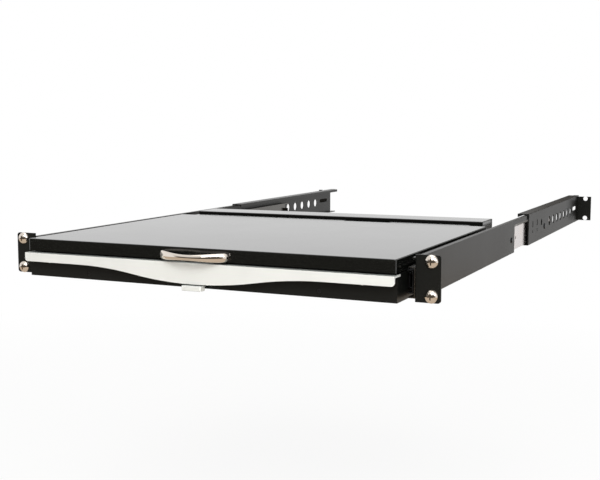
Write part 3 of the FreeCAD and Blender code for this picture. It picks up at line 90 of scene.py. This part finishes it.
def powder_coat(name, dark, light, gloss, peel, index):
    """Polyester powder baked on steel sheet. It flows out almost like paint, so it mirrors at a
    low angle and looks deep black face on, with an orange peel about 1.5 mm across, a grain
    where the powder melted, and faces that look up lightly dusted."""
    made, tree = blank(name)
    place = node(tree, "TexCoord")
    waves = node(tree, "TexNoise", Vector=(place, "Object"), Scale=1 / (1.5 * MM), Detail=1.0)
    grain = node(tree, "TexNoise", Vector=(place, "Object"), Scale=1 / (0.6 * MM), Detail=2.0)
    cloud = node(tree, "TexNoise", Vector=(place, "Object"), Scale=1 / (70 * MM), Detail=4.0)
    tone = node(tree, "Mix", COLOURS, Factor=(grain, "Fac"), _6=colour(dark), _7=colour(light))
    facing = node(tree, "NewGeometry")
    split = node(tree, "SeparateXYZ", Vector=(facing, "Normal"))
    settled = node(tree, "Math", {"operation": "MULTIPLY", "use_clamp": True}, _0=(split, "Z"),
                   _1=(cloud, "Fac"))
    # real dust only in this coat: a pale film on faces that look up, no painted light
    dust_and_painted_reflection = node(tree, "MapRange", Value=(settled, 0), From_Min=0.25, From_Max=0.8,
                To_Min=0.0, To_Max=0.022)
    dusty = node(tree, "Mix", COLOURS, Factor=(dust_and_painted_reflection, "Result"), _6=(tone, 2), _7=colour("#B9B4AA"))
    rough = node(tree, "MapRange", Value=(cloud, "Fac"), From_Min=0.3, From_Max=0.7,
                 To_Min=gloss - 0.015, To_Max=gloss + 0.015)
    bump = node(tree, "Bump", Strength=peel, Distance=0.01 * MM, Height=(waves, "Fac"))
    shader = node(tree, "BsdfPrincipled", Base_Color=(dusty, 2), Roughness=(rough, "Result"),
                  Normal=(bump, "Normal"), IOR=index)
    node(tree, "OutputMaterial", Surface=(shader, 0))
    return made


def anodised_aluminium():
    """Fine-blasted, clear-anodised aluminium: a bright matt silver that spreads light widely,
    with the last of the extrusion's lines along it and a faint cloud from the acid bath. The
    milky oxide layer scatters light as paint does, so it is not all metal. What faces up is
    painted darker as a painted reflection of the dark lid front above it, and what faces down
    is painted darker as painted shade."""
    made, tree = blank("satin_anodised_aluminium")
    place = node(tree, "TexCoord")
    stretch = node(tree, "Mapping", Vector=(place, "Object"), Scale=(0.015, 1, 1))
    lines = node(tree, "TexNoise", Vector=(stretch, 0), Scale=1 / (0.5 * MM), Detail=2.0)
    blast = node(tree, "TexNoise", Vector=(place, "Object"), Scale=1 / (0.5 * MM), Detail=1.0)
    cloud = node(tree, "TexNoise", Vector=(place, "Object"), Scale=1 / (45 * MM), Detail=3.0)
    tone = node(tree, "Mix", COLOURS, Factor=(cloud, "Fac"), _6=colour("#F7F8F5"),
                _7=colour("#ECEEEA"))
    lined = node(tree, "Mix", {"data_type": "RGBA", "blend_type": "MULTIPLY"}, Factor=0.06,
                 _6=(tone, 2), _7=(lines, "Color"))
    facing = node(tree, "NewGeometry")
    normal = node(tree, "SeparateXYZ", Vector=(facing, "Normal"))
    # painted reflection, not dust: faces that look up are darkened for the dark lid they mirror
    dust_and_painted_reflection = node(tree, "MapRange", Value=(normal, "Z"), From_Min=0.6, From_Max=0.9,
                To_Min=0.0, To_Max=0.8)
    # painted shade: faces that look down, under the trim and the latch tab, are darkened
    painted_shade_under = node(tree, "MapRange", Value=(normal, "Z"), From_Min=-0.15, From_Max=-0.5,
                 To_Min=0.0, To_Max=0.85)
    dull = node(tree, "Math", LARGER, _0=(dust_and_painted_reflection, "Result"), _1=(painted_shade_under, "Result"))
    # 747A75 is the grey of this painted reflection and of the painted shade below
    shaded_silver = node(tree, "Mix", COLOURS, Factor=(dull, 0), _6=(lined, 2), _7=colour("#747A75"))
    rough = node(tree, "MapRange", Value=(blast, "Fac"), To_Min=0.52, To_Max=0.64)
    bump = node(tree, "Bump", Strength=0.08, Distance=0.02 * MM, Height=(blast, "Fac"))
    shader = node(tree, "BsdfPrincipled", Base_Color=(shaded_silver, 2), Metallic=0.6,
                  Roughness=(rough, "Result"), Normal=(bump, "Normal"))
    node(tree, "OutputMaterial", Surface=(shader, 0))
    return made


def zinc_plate():
    """Cold-rolled steel with bright blue-passivated zinc: a soft mirror with the long rolling
    lines of the strip and patches of a bluer and a yellower film. Only a face that looks outwards
    at the drawer's sides keeps that tone: the channel and its flanges are painted dark, a painted
    dark reflection of the black tray and brackets around them."""
    made, tree = blank("blue_passivated_zinc")
    place = node(tree, "TexCoord")
    stretch = node(tree, "Mapping", Vector=(place, "Object"), Scale=(1, 0.02, 1))
    rolled = node(tree, "TexNoise", Vector=(stretch, 0), Scale=1 / (0.7 * MM), Detail=3.0)
    film = node(tree, "TexNoise", Vector=(place, "Object"), Scale=1 / (25 * MM), Detail=3.0)
    unshaded_zinc = node(tree, "Mix", COLOURS, Factor=(film, "Fac"), _6=colour("#F4F6FF"),
                 _7=colour("#FFEEDF"))
    facing = node(tree, "NewGeometry")
    normal = node(tree, "SeparateXYZ", Vector=(facing, "Normal"))
    spot = node(tree, "SeparateXYZ", Vector=(place, "Object"))
    # painted reflection: faces that do not look outwards at the drawer's sides are darkened
    outward = node(tree, "Math", TIMES, _0=(normal, "X"), _1=(spot, "X"))
    inside = node(tree, "MapRange", Value=(outward, 0), From_Min=0.12, From_Max=0.02,
                  To_Min=0.0, To_Max=1.0)
    # 605E5B is the painted dark reflection of the black tray and brackets around them
    tone = node(tree, "Mix", COLOURS, Factor=(inside, "Result"), _6=(unshaded_zinc, 2),
                _7=colour("#605E5B"))
    rough = node(tree, "MapRange", Value=(rolled, "Fac"), To_Min=0.16, To_Max=0.28)
    bump = node(tree, "Bump", Strength=0.08, Distance=0.01 * MM, Height=(rolled, "Fac"))
    shader = node(tree, "BsdfPrincipled", Base_Color=(tone, 2), Metallic=1.0,
                  Roughness=(rough, "Result"), Normal=(bump, "Normal"))
    node(tree, "OutputMaterial", Surface=(shader, 0))
    return made


def plated(name, bright, deep, low, high, spot):
    """Turned, pressed or ground steel, plated or oiled: even and smooth, with a slow change of
    tone and dull spots where hands or tools have touched it."""
    made, tree = blank(name)
    place = node(tree, "TexCoord")
    slow = node(tree, "TexNoise", Vector=(place, "Object"), Scale=1 / (spot * MM), Detail=3.0)
    fine = node(tree, "TexNoise", Vector=(place, "Object"), Scale=1 / (0.8 * MM), Detail=1.0)
    tone = node(tree, "Mix", COLOURS, Factor=(slow, "Fac"), _6=colour(bright), _7=colour(deep))
    rough = node(tree, "MapRange", Value=(slow, "Fac"), From_Min=0.3, From_Max=0.7,
                 To_Min=low, To_Max=high)
    bump = node(tree, "Bump", Strength=0.04, Distance=0.01 * MM, Height=(fine, "Fac"))
    shader = node(tree, "BsdfPrincipled", Base_Color=(tone, 2), Metallic=1.0,
                  Roughness=(rough, "Result"), Normal=(bump, "Normal"))
    node(tree, "OutputMaterial", Surface=(shader, 0))
    return made


def moulded(name, dark, light, gloss, grit, depth, index=1.5):
    """Injection-moulded plastic or rubber: the spark-eroded grit of the tool, and a slight
    change of gloss where it filled slowly."""
    made, tree = blank(name)
    place = node(tree, "TexCoord")
    texture = node(tree, "TexNoise", Vector=(place, "Object"), Scale=1 / (grit * MM), Detail=3.0)
    cloud = node(tree, "TexNoise", Vector=(place, "Object"), Scale=1 / (35 * MM), Detail=2.0)
    tone = node(tree, "Mix", COLOURS, Factor=(texture, "Fac"), _6=colour(dark), _7=colour(light))
    rough = node(tree, "MapRange", Value=(cloud, "Fac"), From_Min=0.3, From_Max=0.7,
                 To_Min=gloss - 0.05, To_Max=gloss + 0.06)
    bump = node(tree, "Bump", Strength=0.5, Distance=depth * MM, Height=(texture, "Fac"))
    shader = node(tree, "BsdfPrincipled", Base_Color=(tone, 2), Roughness=(rough, "Result"),
                  Normal=(bump, "Normal"), IOR=index)
    node(tree, "OutputMaterial", Surface=(shader, 0))
    return made


def circuit_board():
    """Glass-epoxy board under green solder mask, paler where copper tracks lie under it."""
    made, tree = blank("green_solder_mask")
    place = node(tree, "TexCoord")
    tracks = node(tree, "TexBrick", {"offset": 0.5}, Vector=(place, "Object"), Scale=1 / (9 * MM),
                  Color1=colour("#0F4A2A"), Color2=colour("#12552F"), Mortar=colour("#2B7A48"),
                  Mortar_Size=0.06)
    rough = node(tree, "MapRange", Value=(tracks, "Fac"), To_Min=0.28, To_Max=0.4)
    bump = node(tree, "Bump", Strength=0.3, Distance=0.03 * MM, Height=(tracks, "Fac"))
    shader = node(tree, "BsdfPrincipled", Base_Color=(tracks, "Color"),
                  Roughness=(rough, "Result"), Normal=(bump, "Normal"), IOR=1.5)
    node(tree, "OutputMaterial", Surface=(shader, 0))
    return made


def anti_glare_glass():
    """Etched display glass over a panel that is off: nearly black with a soft blue-grey sheen."""
    made, tree = blank("anti_glare_glass")
    place = node(tree, "TexCoord")
    etch = node(tree, "TexNoise", Vector=(place, "Object"), Scale=1 / (0.8 * MM), Detail=1.0)
    smear = node(tree, "TexNoise", Vector=(place, "Object"), Scale=1 / (60 * MM), Detail=3.0)
    tone = node(tree, "Mix", COLOURS, Factor=(smear, "Fac"), _6=colour("#090A0D"),
                _7=colour("#11141A"))
    rough = node(tree, "MapRange", Value=(smear, "Fac"), From_Min=0.3, From_Max=0.7,
                 To_Min=0.13, To_Max=0.2)
    bump = node(tree, "Bump", Strength=0.1, Distance=0.005 * MM, Height=(etch, "Fac"))
    shader = node(tree, "BsdfPrincipled", Base_Color=(tone, 2), Roughness=(rough, "Result"),
                  Normal=(bump, "Normal"), IOR=1.52)
    node(tree, "OutputMaterial", Surface=(shader, 0))
    return made


FINISHES = {
    # lid, deck and connector housing: black sheet steel with a satin mirror at a low angle
    "black_steel": powder_coat("satin_black_powder_coat", "#090A09", "#131412", 0.11, 0.4, 1.6),
    # outer slide members and small inner plates: a bluish, soft mirror
    "zinc_steel": zinc_plate(),
    # balls, hinge pins and socket shells: bright and neutral, with small sharp highlights
    "bright_steel": plated("ground_bearing_steel", "#DADAD8", "#C4C4C2", 0.12, 0.2, 8),
    # hinge leaves and their brackets: a darker, duller grey under their oil
    "hinge_steel": plated("oiled_hinge_steel", "#9A9A9C", "#77787B", 0.26, 0.4, 12),
    # handle and rack screws: a clear, slightly warm mirror
    "nickel": plated("polished_nickel_plate", "#E8E1D8", "#DACFC3", 0.05, 0.11, 14),
    # small screws: nearly black, with a dull gleam
    "black_screw": plated("black_oxide_steel", "#3A3B3D", "#242527", 0.26, 0.4, 4),
    # front trim and latch tab: bright matt silver
    "trim_aluminium": anodised_aluminium(),
    # display bezel, buttons and power inlet: black with a broad, soft highlight
    "bezel_plastic": moulded("black_moulded_abs", "#0D0D0F", "#16161A", 0.42, 0.8, 0.02),
    # keycaps: a dull black
    "key_plastic": moulded("matt_black_keycap_abs", "#101011", "#1A1A1B", 0.5, 0.6, 0.02),
    # touchpad: smoother and a little paler than the keys
    "pad_plastic": moulded("satin_touch_film", "#17181A", "#1F2022", 0.34, 1.2, 0.006),
    # lid bumpers: black with hardly a highlight
    "rubber": moulded("black_rubber", "#0C0C0C", "#151515", 0.8, 0.6, 0.03, 1.52),
    "display_glass": anti_glare_glass(),
    # back of the display: a dull tin grey
    "module_steel": plated("pressed_tinplate", "#CFCFCC", "#B6B6B2", 0.26, 0.4, 18),
    "circuit_board": circuit_board(),
    # power lamp: green and glossy
    "lamp_plastic": moulded("clear_green_lens", "#1E7A34", "#2C9A48", 0.12, 2.0, 0.004, 1.49),
}
# middle and inner slide members and the tray's front screws: a dark grey gleam under grease
GREASED = plated("greased_black_zinc", "#46474A", "#313235", 0.28, 0.42, 10)
# brackets and tray: a thinner, coarser coat that stays matt
BRACKET_COAT = powder_coat("matt_black_powder_coat", "#0A0B0A", "#151614", 0.34, 0.8, 1.35)
FINISH_OF = {
    "front_bracket_left": BRACKET_COAT, "front_bracket_right": BRACKET_COAT,
    "rear_bracket_left": BRACKET_COAT, "rear_bracket_right": BRACKET_COAT,
    "tray": BRACKET_COAT, "front_screws": GREASED,
    "slide_middle_left": GREASED, "slide_middle_right": GREASED,
    "slide_inner_left": GREASED, "slide_inner_right": GREASED,
}
for row in record["subparts"]:
    slots = nodes[row["node"]].data.materials
    slots.clear()
    slots.append(FINISH_OF.get(row["node"], FINISHES[row["material_slot"]]))
BODY_OF = {name: body for body, names in record["behaviour"]["bodies"].items() for name in names}


# ---- making pieces ------------------------------------------------------------------------
WELD = 0.01 * MM                # corners of loose triangles nearer than this are one corner
SEAM = 0.005 * MM               # rings nearer than this, where two spins meet, are one ring
SLIVER = 0.0022 * MM            # the longest edge that a bevel or a cut leaves by mistake
LEVEL = math.radians(0.6)       # faces turned from each other by less than this are one face
SMOOTH = math.radians(35)       # an edge flatter than this is shaded smooth
SHARP = math.radians(40)        # an edge sharper than this is a corner of the shape
LYING = (math.pi / 2, 0, 0)     # turns a primitive's axis from upright to front to back


def alone(*objects):
    """Selects these objects only; the first becomes active."""
    bpy.ops.object.select_all(action="DESELECT")
    for item in objects:
        item.hide_set(False)
        item.select_set(True)
    bpy.context.view_layer.objects.active = objects[0]


def modify(item, kind, **settings):
    """Adds a modifier and applies it."""
    alone(item)
    modifier = item.modifiers.new(kind, kind)
    for name, value in settings.items():
        setattr(modifier, name, value)
    bpy.ops.object.modifier_apply(modifier=modifier.name)


def pick(item, kind, test):
    """Selects, in edit mode, only the vertices, edges or faces that pass the test."""
    if item.mode == "OBJECT":
        alone(item)
        bpy.ops.object.mode_set(mode="EDIT")
    parts = {"VERT": item.data.vertices, "EDGE": item.data.edges, "FACE": item.data.polygons}
    bpy.context.tool_settings.mesh_select_mode = [kind == each for each in parts]
    bpy.ops.mesh.select_all(action="DESELECT")
    bpy.ops.object.mode_set(mode="OBJECT")
    for part in parts[kind]:
        part.select = test(part)
    bpy.ops.object.mode_set(mode="EDIT")


def merge_slivers(item):
    """Draws together the corners at a sliver's ends, as a bevel or a cut leaves them."""
    pick(item, "VERT", lambda v: True)
    bpy.ops.mesh.remove_doubles(threshold=SLIVER)
    bpy.ops.object.mode_set(mode="OBJECT")


def softened(name, width):
    """Puts in a CAD piece's place a copy with its edges broken, as folding and coating leave
    them on sheet, and a tool on plastic. The width is in mm."""
    source = nodes[name]
    copy = source.copy()
    copy.data = source.data.copy()
    copy.name = name + "_soft"
    for key in [key for key in copy.keys() if key.startswith("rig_")]:
        del copy[key]
    scene.collection.objects.link(copy)
    copy.parent = None
    pick(copy, "VERT", lambda v: True)
    bpy.ops.mesh.remove_doubles(threshold=WELD)
    bpy.ops.mesh.dissolve_limited(angle_limit=LEVEL)
    bpy.ops.object.mode_set(mode="OBJECT")
    modify(copy, "BEVEL", width=width * MM, segments=2, limit_method="ANGLE",
           angle_limit=SHARP, use_clamp_overlap=True)
    merge_slivers(copy)
    bpy.ops.object.shade_smooth_by_angle(angle=SMOOTH)
    modify(copy, "WEIGHTED_NORMAL", keep_sharp=True, weight=100)
    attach(copy, BODY_OF[name])
    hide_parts(name)


# the width of each piece's broken edges, in mm
EDGES = {
    "tray": 0.5, "lid_cover": 0.3, "front_trim": 0.4, "latch_tab": 1.2,
    "front_bracket_left": 0.4, "front_bracket_right": 0.4,
    "rear_bracket_left": 0.3, "rear_bracket_right": 0.3,
    "slide_outer_left": 0.3, "slide_outer_right": 0.3,
    "slide_middle_left": 0.25, "slide_middle_right": 0.25,
    "slide_inner_left": 0.25, "slide_inner_right": 0.25,
    "connector_housing": 0.4, "lid_bezel": 0.4, "deck": 0.3,
    "key_row_space": 0.5, "key_row_shift": 0.5, "key_row_home": 0.5, "key_row_letters": 0.5,
    "key_row_numbers": 0.5, "key_row_function": 0.5,
}
for piece_name, edge in EDGES.items():
    softened(piece_name, edge)


# ---- handle and rack screws ----------------------------------------------------------------
def bow_handle():
    """A bar of oval section spun round three bends from foot to foot, then waisted in the middle
    and necked at its feet by scaling each ring of its section."""
    low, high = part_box("handle")
    lid_face, middle_z, tall = high.y, (low.z + high.z) / 2, high.z - low.z
    bar, turn = 4 * MM, 8 * MM                  # the bar's thickness, the radius at each foot
    turn_rings, half_rings, neck_rings = 10, 18, 7
    waist_loss, neck_share = 0.36, 0.45         # as shares of the bar's height
    half_span = high.x - bar / 2
    reach = lid_face - low.y - bar / 2
    foot = half_span - turn
    radius = (foot ** 2 + reach ** 2 - turn ** 2) / (2 * (reach - turn))
    bow_y = lid_face - reach + radius
    bend = math.acos(foot / (radius - turn))
    half_bow = math.pi / 2 - bend
    bow_front = lid_face - 5 * MM               # the bow's rings lie in front of this
    feet_side = foot - 4 * MM                   # the feet's rings lie outside this
    bpy.ops.object.select_all(action="DESELECT")
    bpy.ops.mesh.primitive_circle_add(vertices=20, radius=0.5, rotation=LYING,
                                      location=(-half_span, lid_face, middle_z))
    handle = bpy.context.active_object
    handle.name = "bow_handle"
    handle.scale = (bar, tall, 1)
    bpy.ops.object.transform_apply()
    bpy.ops.object.mode_set(mode="EDIT")
    bpy.ops.mesh.select_all(action="SELECT")
    for rings, angle, centre in ((turn_rings, bend, (-foot, lid_face, middle_z)),
                                 (2 * half_rings, 2 * half_bow, (0, bow_y, middle_z)),
                                 (turn_rings, bend, (foot, lid_face, middle_z))):
        bpy.ops.mesh.spin(steps=rings, angle=-angle, center=centre, axis=(0, 0, 1))
    for ring in range(half_rings):
        pick(handle, "VERT", lambda v: v.co.y < bow_front and round(
            abs(math.atan2(v.co.x, bow_y - v.co.y)) / half_bow * half_rings) == ring)
        waist = 1 - waist_loss * math.cos(math.pi / 2 * ring / half_rings) ** 2
        bpy.ops.transform.resize(value=(1, 1, waist), center_override=(0, 0, middle_z))
    for ring in range(neck_rings):
        pick(handle, "VERT", lambda v: abs(v.co.x) > feet_side and round(
            math.atan2(lid_face - v.co.y, abs(v.co.x) - foot) / bend * turn_rings) == ring)
        neck = neck_share + (1 - neck_share) * math.sin(math.pi / 2 * ring / neck_rings)
        bpy.ops.transform.resize(value=(1, 1, neck), center_override=(0, 0, middle_z))
    for side in (-1, 1):        # the open ring of each foot, on the lid's face, gets its end
        pick(handle, "VERT", lambda v: v.co.x * side > 0 and v.co.y > lid_face - 0.05 * MM)
        bpy.ops.mesh.edge_face_add()
    bpy.ops.mesh.select_all(action="SELECT")
    bpy.ops.mesh.remove_doubles(threshold=SEAM)
    bpy.ops.mesh.normals_make_consistent(inside=False)
    bpy.ops.object.mode_set(mode="OBJECT")
    modify(handle, "SUBSURF", levels=1, render_levels=1)
    bpy.ops.object.shade_smooth_by_angle(angle=SHARP)
    handle.data.materials.append(FINISHES["nickel"])
    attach(handle, BODY_OF["handle"])
    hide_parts("handle")


def rack_screws():
    """Domed screw heads: half an oval ball with a cross driven into it, on a turned neck and
    shank. One screw is made, cut and copied to the four holes."""
    low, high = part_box("rack_screws")
    ear_face = -2 * MM
    head_r, neck_r, shank_r, chamfer = 6.4 * MM, 2.6 * MM, 3 * MM, 0.3 * MM
    arm, arm_reach = 1.3 * MM, 2.3 * MM         # the cross: width of an arm, its length
    bit, bit_middle = 2.6 * MM, 1.1 * MM        # the cutter: its length, its middle in the head
    tall = ear_face - low.y
    hole_x, hole_z = high.x - head_r, high.z - head_r
    bpy.ops.object.select_all(action="DESELECT")
    bpy.ops.mesh.primitive_uv_sphere_add(segments=40, ring_count=24, radius=head_r,
                                         rotation=LYING, location=(0, ear_face, 0))
    screw = bpy.context.active_object
    screw.name = "rack_screw"
    screw.scale = (1, 1, tall / head_r)
    bpy.ops.object.transform_apply()
    bpy.ops.object.mode_set(mode="EDIT")
    bpy.ops.mesh.select_all(action="SELECT")
    bpy.ops.mesh.bisect(plane_co=(0, ear_face, 0), plane_no=(0, 1, 0), clear_outer=True,
                        use_fill=True)
    bpy.ops.object.mode_set(mode="OBJECT")
    bpy.ops.object.select_all(action="DESELECT")
    bpy.ops.mesh.primitive_cube_add(size=1, location=(0, low.y + bit_middle, 0))
    driver = bpy.context.active_object
    driver.scale = (arm, bit, arm)
    bpy.ops.object.transform_apply()
    for axis, push in ((0, (arm_reach, 0, 0)), (2, (0, 0, arm_reach))):
        for way in (-1, 1):     # the core's own face on this side is drawn out into an arm
            pick(driver, "FACE", lambda f: f.normal[axis] * way > 0.9
                 and abs(f.center[2 - axis]) < 0.1 * MM)
            bpy.ops.mesh.extrude_region_move(
                TRANSFORM_OT_translate={"value": [way * step for step in push]})
            bpy.ops.object.mode_set(mode="OBJECT")
    modify(screw, "BOOLEAN", object=driver, operation="DIFFERENCE", solver="EXACT")
    bpy.data.objects.remove(driver)
    parts = [screw]
    for start, end, radius in ((ear_face, 0, neck_r), (0, high.y, shank_r)):
        bpy.ops.object.select_all(action="DESELECT")
        bpy.ops.mesh.primitive_cylinder_add(vertices=32, radius=radius, depth=end - start,
                                            rotation=LYING, location=(0, (start + end) / 2, 0))
        shank = bpy.context.active_object
        bpy.ops.object.transform_apply()
        modify(shank, "BEVEL", width=chamfer, segments=2)
        parts.append(shank)
    alone(*parts)
    bpy.ops.object.join()
    copies = []
    for side in (-1, 1):
        for up in (-1, 1):
            copy = screw.copy()
            copy.data = screw.data.copy()
            scene.collection.objects.link(copy)
            copy.location = (side * hole_x, 0, up * hole_z)
            copies.append(copy)
    bpy.data.objects.remove(screw)
    alone(*copies)
    bpy.ops.object.join()
    bpy.ops.object.transform_apply()
    screws = bpy.context.active_object
    screws.name = "domed_rack_screws"
    merge_slivers(screws)
    bpy.ops.object.shade_smooth_by_angle(angle=SMOOTH)
    screws.data.materials.append(FINISHES["nickel"])
    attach(screws, BODY_OF["rack_screws"])
    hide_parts("rack_screws")


bow_handle()
rack_screws()


# ---- stage, light and camera --------------------------------------------------------------
WHITE, BLACK = colour("#FFFFFF"), colour("#000000")
AIM = Vector((0, 0.2, 0))           # in metres, as all places of the lamps and the floor are


def lamp(name, place, size, power):
    """A soft rectangular lamp turned towards the drawer."""
    data = bpy.data.lights.new(name, "AREA")
    data.shape = "RECTANGLE"
    data.size, data.size_y = size
    data.energy = power
    item = bpy.data.objects.new(name, data)
    item.location = place
    item.rotation_euler = (AIM - item.location).to_track_quat("-Z", "Y").to_euler()
    scene.collection.objects.link(item)


def pale_floor():
    """White to the camera, darker where the object's shadow falls, and tan to gloss, so that
    polished metal has something warm to mirror below it."""
    bpy.ops.object.select_all(action="DESELECT")
    bpy.ops.mesh.primitive_plane_add(size=4.4, location=(0, 0.3, -0.42))
    floor = bpy.context.active_object
    floor.name = "floor"
    bpy.ops.object.transform_apply()
    made, tree = blank("pale_floor")
    place = node(tree, "TexCoord")
    away = node(tree, "VectorMath", {"operation": "LENGTH"}, _0=(place, "Object"))
    fade = node(tree, "MapRange", Value=(away, "Value"), From_Min=0.8, From_Max=2.1,
                To_Min=0.85, To_Max=1.0)
    matt = node(tree, "BsdfDiffuse", Color=colour("#F4F4F2"))
    rays = node(tree, "LightPath")
    tone = node(tree, "Mix", COLOURS, Factor=(rays, "Is Glossy Ray"), _6=WHITE,
                _7=colour("#C9B7A2"))
    glow = node(tree, "Emission", Color=(tone, 2), Strength=1.0)
    seen = node(tree, "Math", LARGER, _0=(rays, "Is Camera Ray"), _1=(rays, "Is Glossy Ray"))
    seen = node(tree, "Math", LARGER, _0=(seen, 0), _1=(rays, "Is Transmission Ray"))
    share = node(tree, "Math", TIMES, _0=(seen, 0), _1=(fade, "Result"))
    both = node(tree, "MixShader", _0=(share, 0), _1=(matt, 0), _2=(glow, 0))
    node(tree, "OutputMaterial", Surface=(both, 0))
    floor.data.materials.append(made)


def studio():
    """The room, white to the camera and even to matt surfaces. Gloss sees it bright behind,
    overhead and to both sides, and dim and warm in front and on a screen straight behind, which
    keeps the rear brackets dark."""
    world = bpy.data.worlds.new("studio")
    scene.world = world
    world.use_nodes = True
    tree = world.node_tree
    tree.nodes.clear()
    sky = node(tree, "TexCoord")
    split = node(tree, "SeparateXYZ", Vector=(sky, "Generated"))
    behind = node(tree, "MapRange", Value=(split, "Y"), From_Min=-0.35, From_Max=0.45,
                  To_Min=0.0, To_Max=1.0)
    above = node(tree, "MapRange", Value=(split, "Z"), From_Min=0.12, From_Max=0.4,
                 To_Min=0.0, To_Max=0.95)
    bright = node(tree, "Math", LARGER, _0=(behind, "Result"), _1=(above, "Result"))
    across = node(tree, "MapRange", Value=(split, "X"), From_Min=-0.5, From_Max=0.5)
    screen = node(tree, "ValToRGB", Fac=(across, 0))
    stops = screen.color_ramp.elements
    stops[0].position, stops[0].color = 0.27, WHITE
    stops[1].position, stops[1].color = 0.7, WHITE
    for position in (0.32, 0.67):
        stops.new(position).color = BLACK
    front = node(tree, "MapRange", Value=(split, "Y"), From_Min=0.6, From_Max=0.9,
                 To_Min=1.0, To_Max=0.0)
    clear = node(tree, "Math", LARGER, _0=(screen, "Color"), _1=(front, "Result"))
    lit = node(tree, "Math", TIMES, _0=(bright, 0), _1=(clear, 0))
    sideways = node(tree, "Math", {"operation": "ABSOLUTE"}, _0=(split, "X"))
    aside = node(tree, "MapRange", Value=(sideways, 0), From_Min=0.7, From_Max=0.85,
                 To_Min=0.0, To_Max=1.0)
    lit = node(tree, "Math", LARGER, _0=(lit, 0), _1=(aside, "Result"))
    tint = node(tree, "Mix", COLOURS, Factor=(lit, 0), _6=colour("#ABA092"), _7=WHITE)
    dim = node(tree, "MapRange", Value=(lit, 0), To_Min=0.2, To_Max=1.0)
    mirrored = node(tree, "Background", Color=(tint, 2), Strength=(dim, "Result"))
    around = node(tree, "Background", Color=WHITE, Strength=0.45)
    shown = node(tree, "Background", Color=WHITE, Strength=1.0)
    rays = node(tree, "LightPath")
    first = node(tree, "MixShader", _0=(rays, "Is Glossy Ray"), _1=(around, 0),
                 _2=(mirrored, 0))
    through = node(tree, "Math", LARGER, _0=(rays, "Is Camera Ray"),
                   _1=(rays, "Is Transmission Ray"))
    both = node(tree, "MixShader", _0=(through, 0), _1=(first, 0), _2=(shown, 0))
    node(tree, "OutputWorld", Surface=(both, 0))


def camera():
    """A lens in front of the drawer, to its right and a little above it."""
    eye = Vector((497.8, -883.2, 139.0)) * MM
    yaw, pitch, roll = math.radians(27.548), math.radians(6.459), math.radians(-0.336)
    ahead = Vector((-math.sin(yaw) * math.cos(pitch), math.cos(yaw) * math.cos(pitch),
                    -math.sin(pitch)))
    level = ahead.cross(Vector((0, 0, 1))).normalized()
    upward = level.cross(ahead)
    right = level * math.cos(roll) + upward * math.sin(roll)
    up = upward * math.cos(roll) - level * math.sin(roll)
    view = bpy.data.cameras.new("view")
    view.sensor_width = 36          # in mm, as the lens is
    view.lens = 60.852
    view.shift_x = 0.1              # the frame lies to the right of the lens's axis
    view.clip_end = 60
    item = bpy.data.objects.new("camera", view)
    scene.collection.objects.link(item)
    item.matrix_world = Matrix.Translation(eye) @ Matrix((right, up, -ahead)).transposed().to_4x4()
    scene.camera = item


lamp("key_light", (0.7, -1.9, 1.6), (1.4, 1.0), 57)
lamp("fill_light", (1.7, -1.2, 1.0), (1.0, 1.2), 12)
lamp("top_light", (0.0, 0.4, 2.2), (2.0, 2.0), 14)
pale_floor()
studio()
camera()
scene.view_settings.view_transform = "Standard"
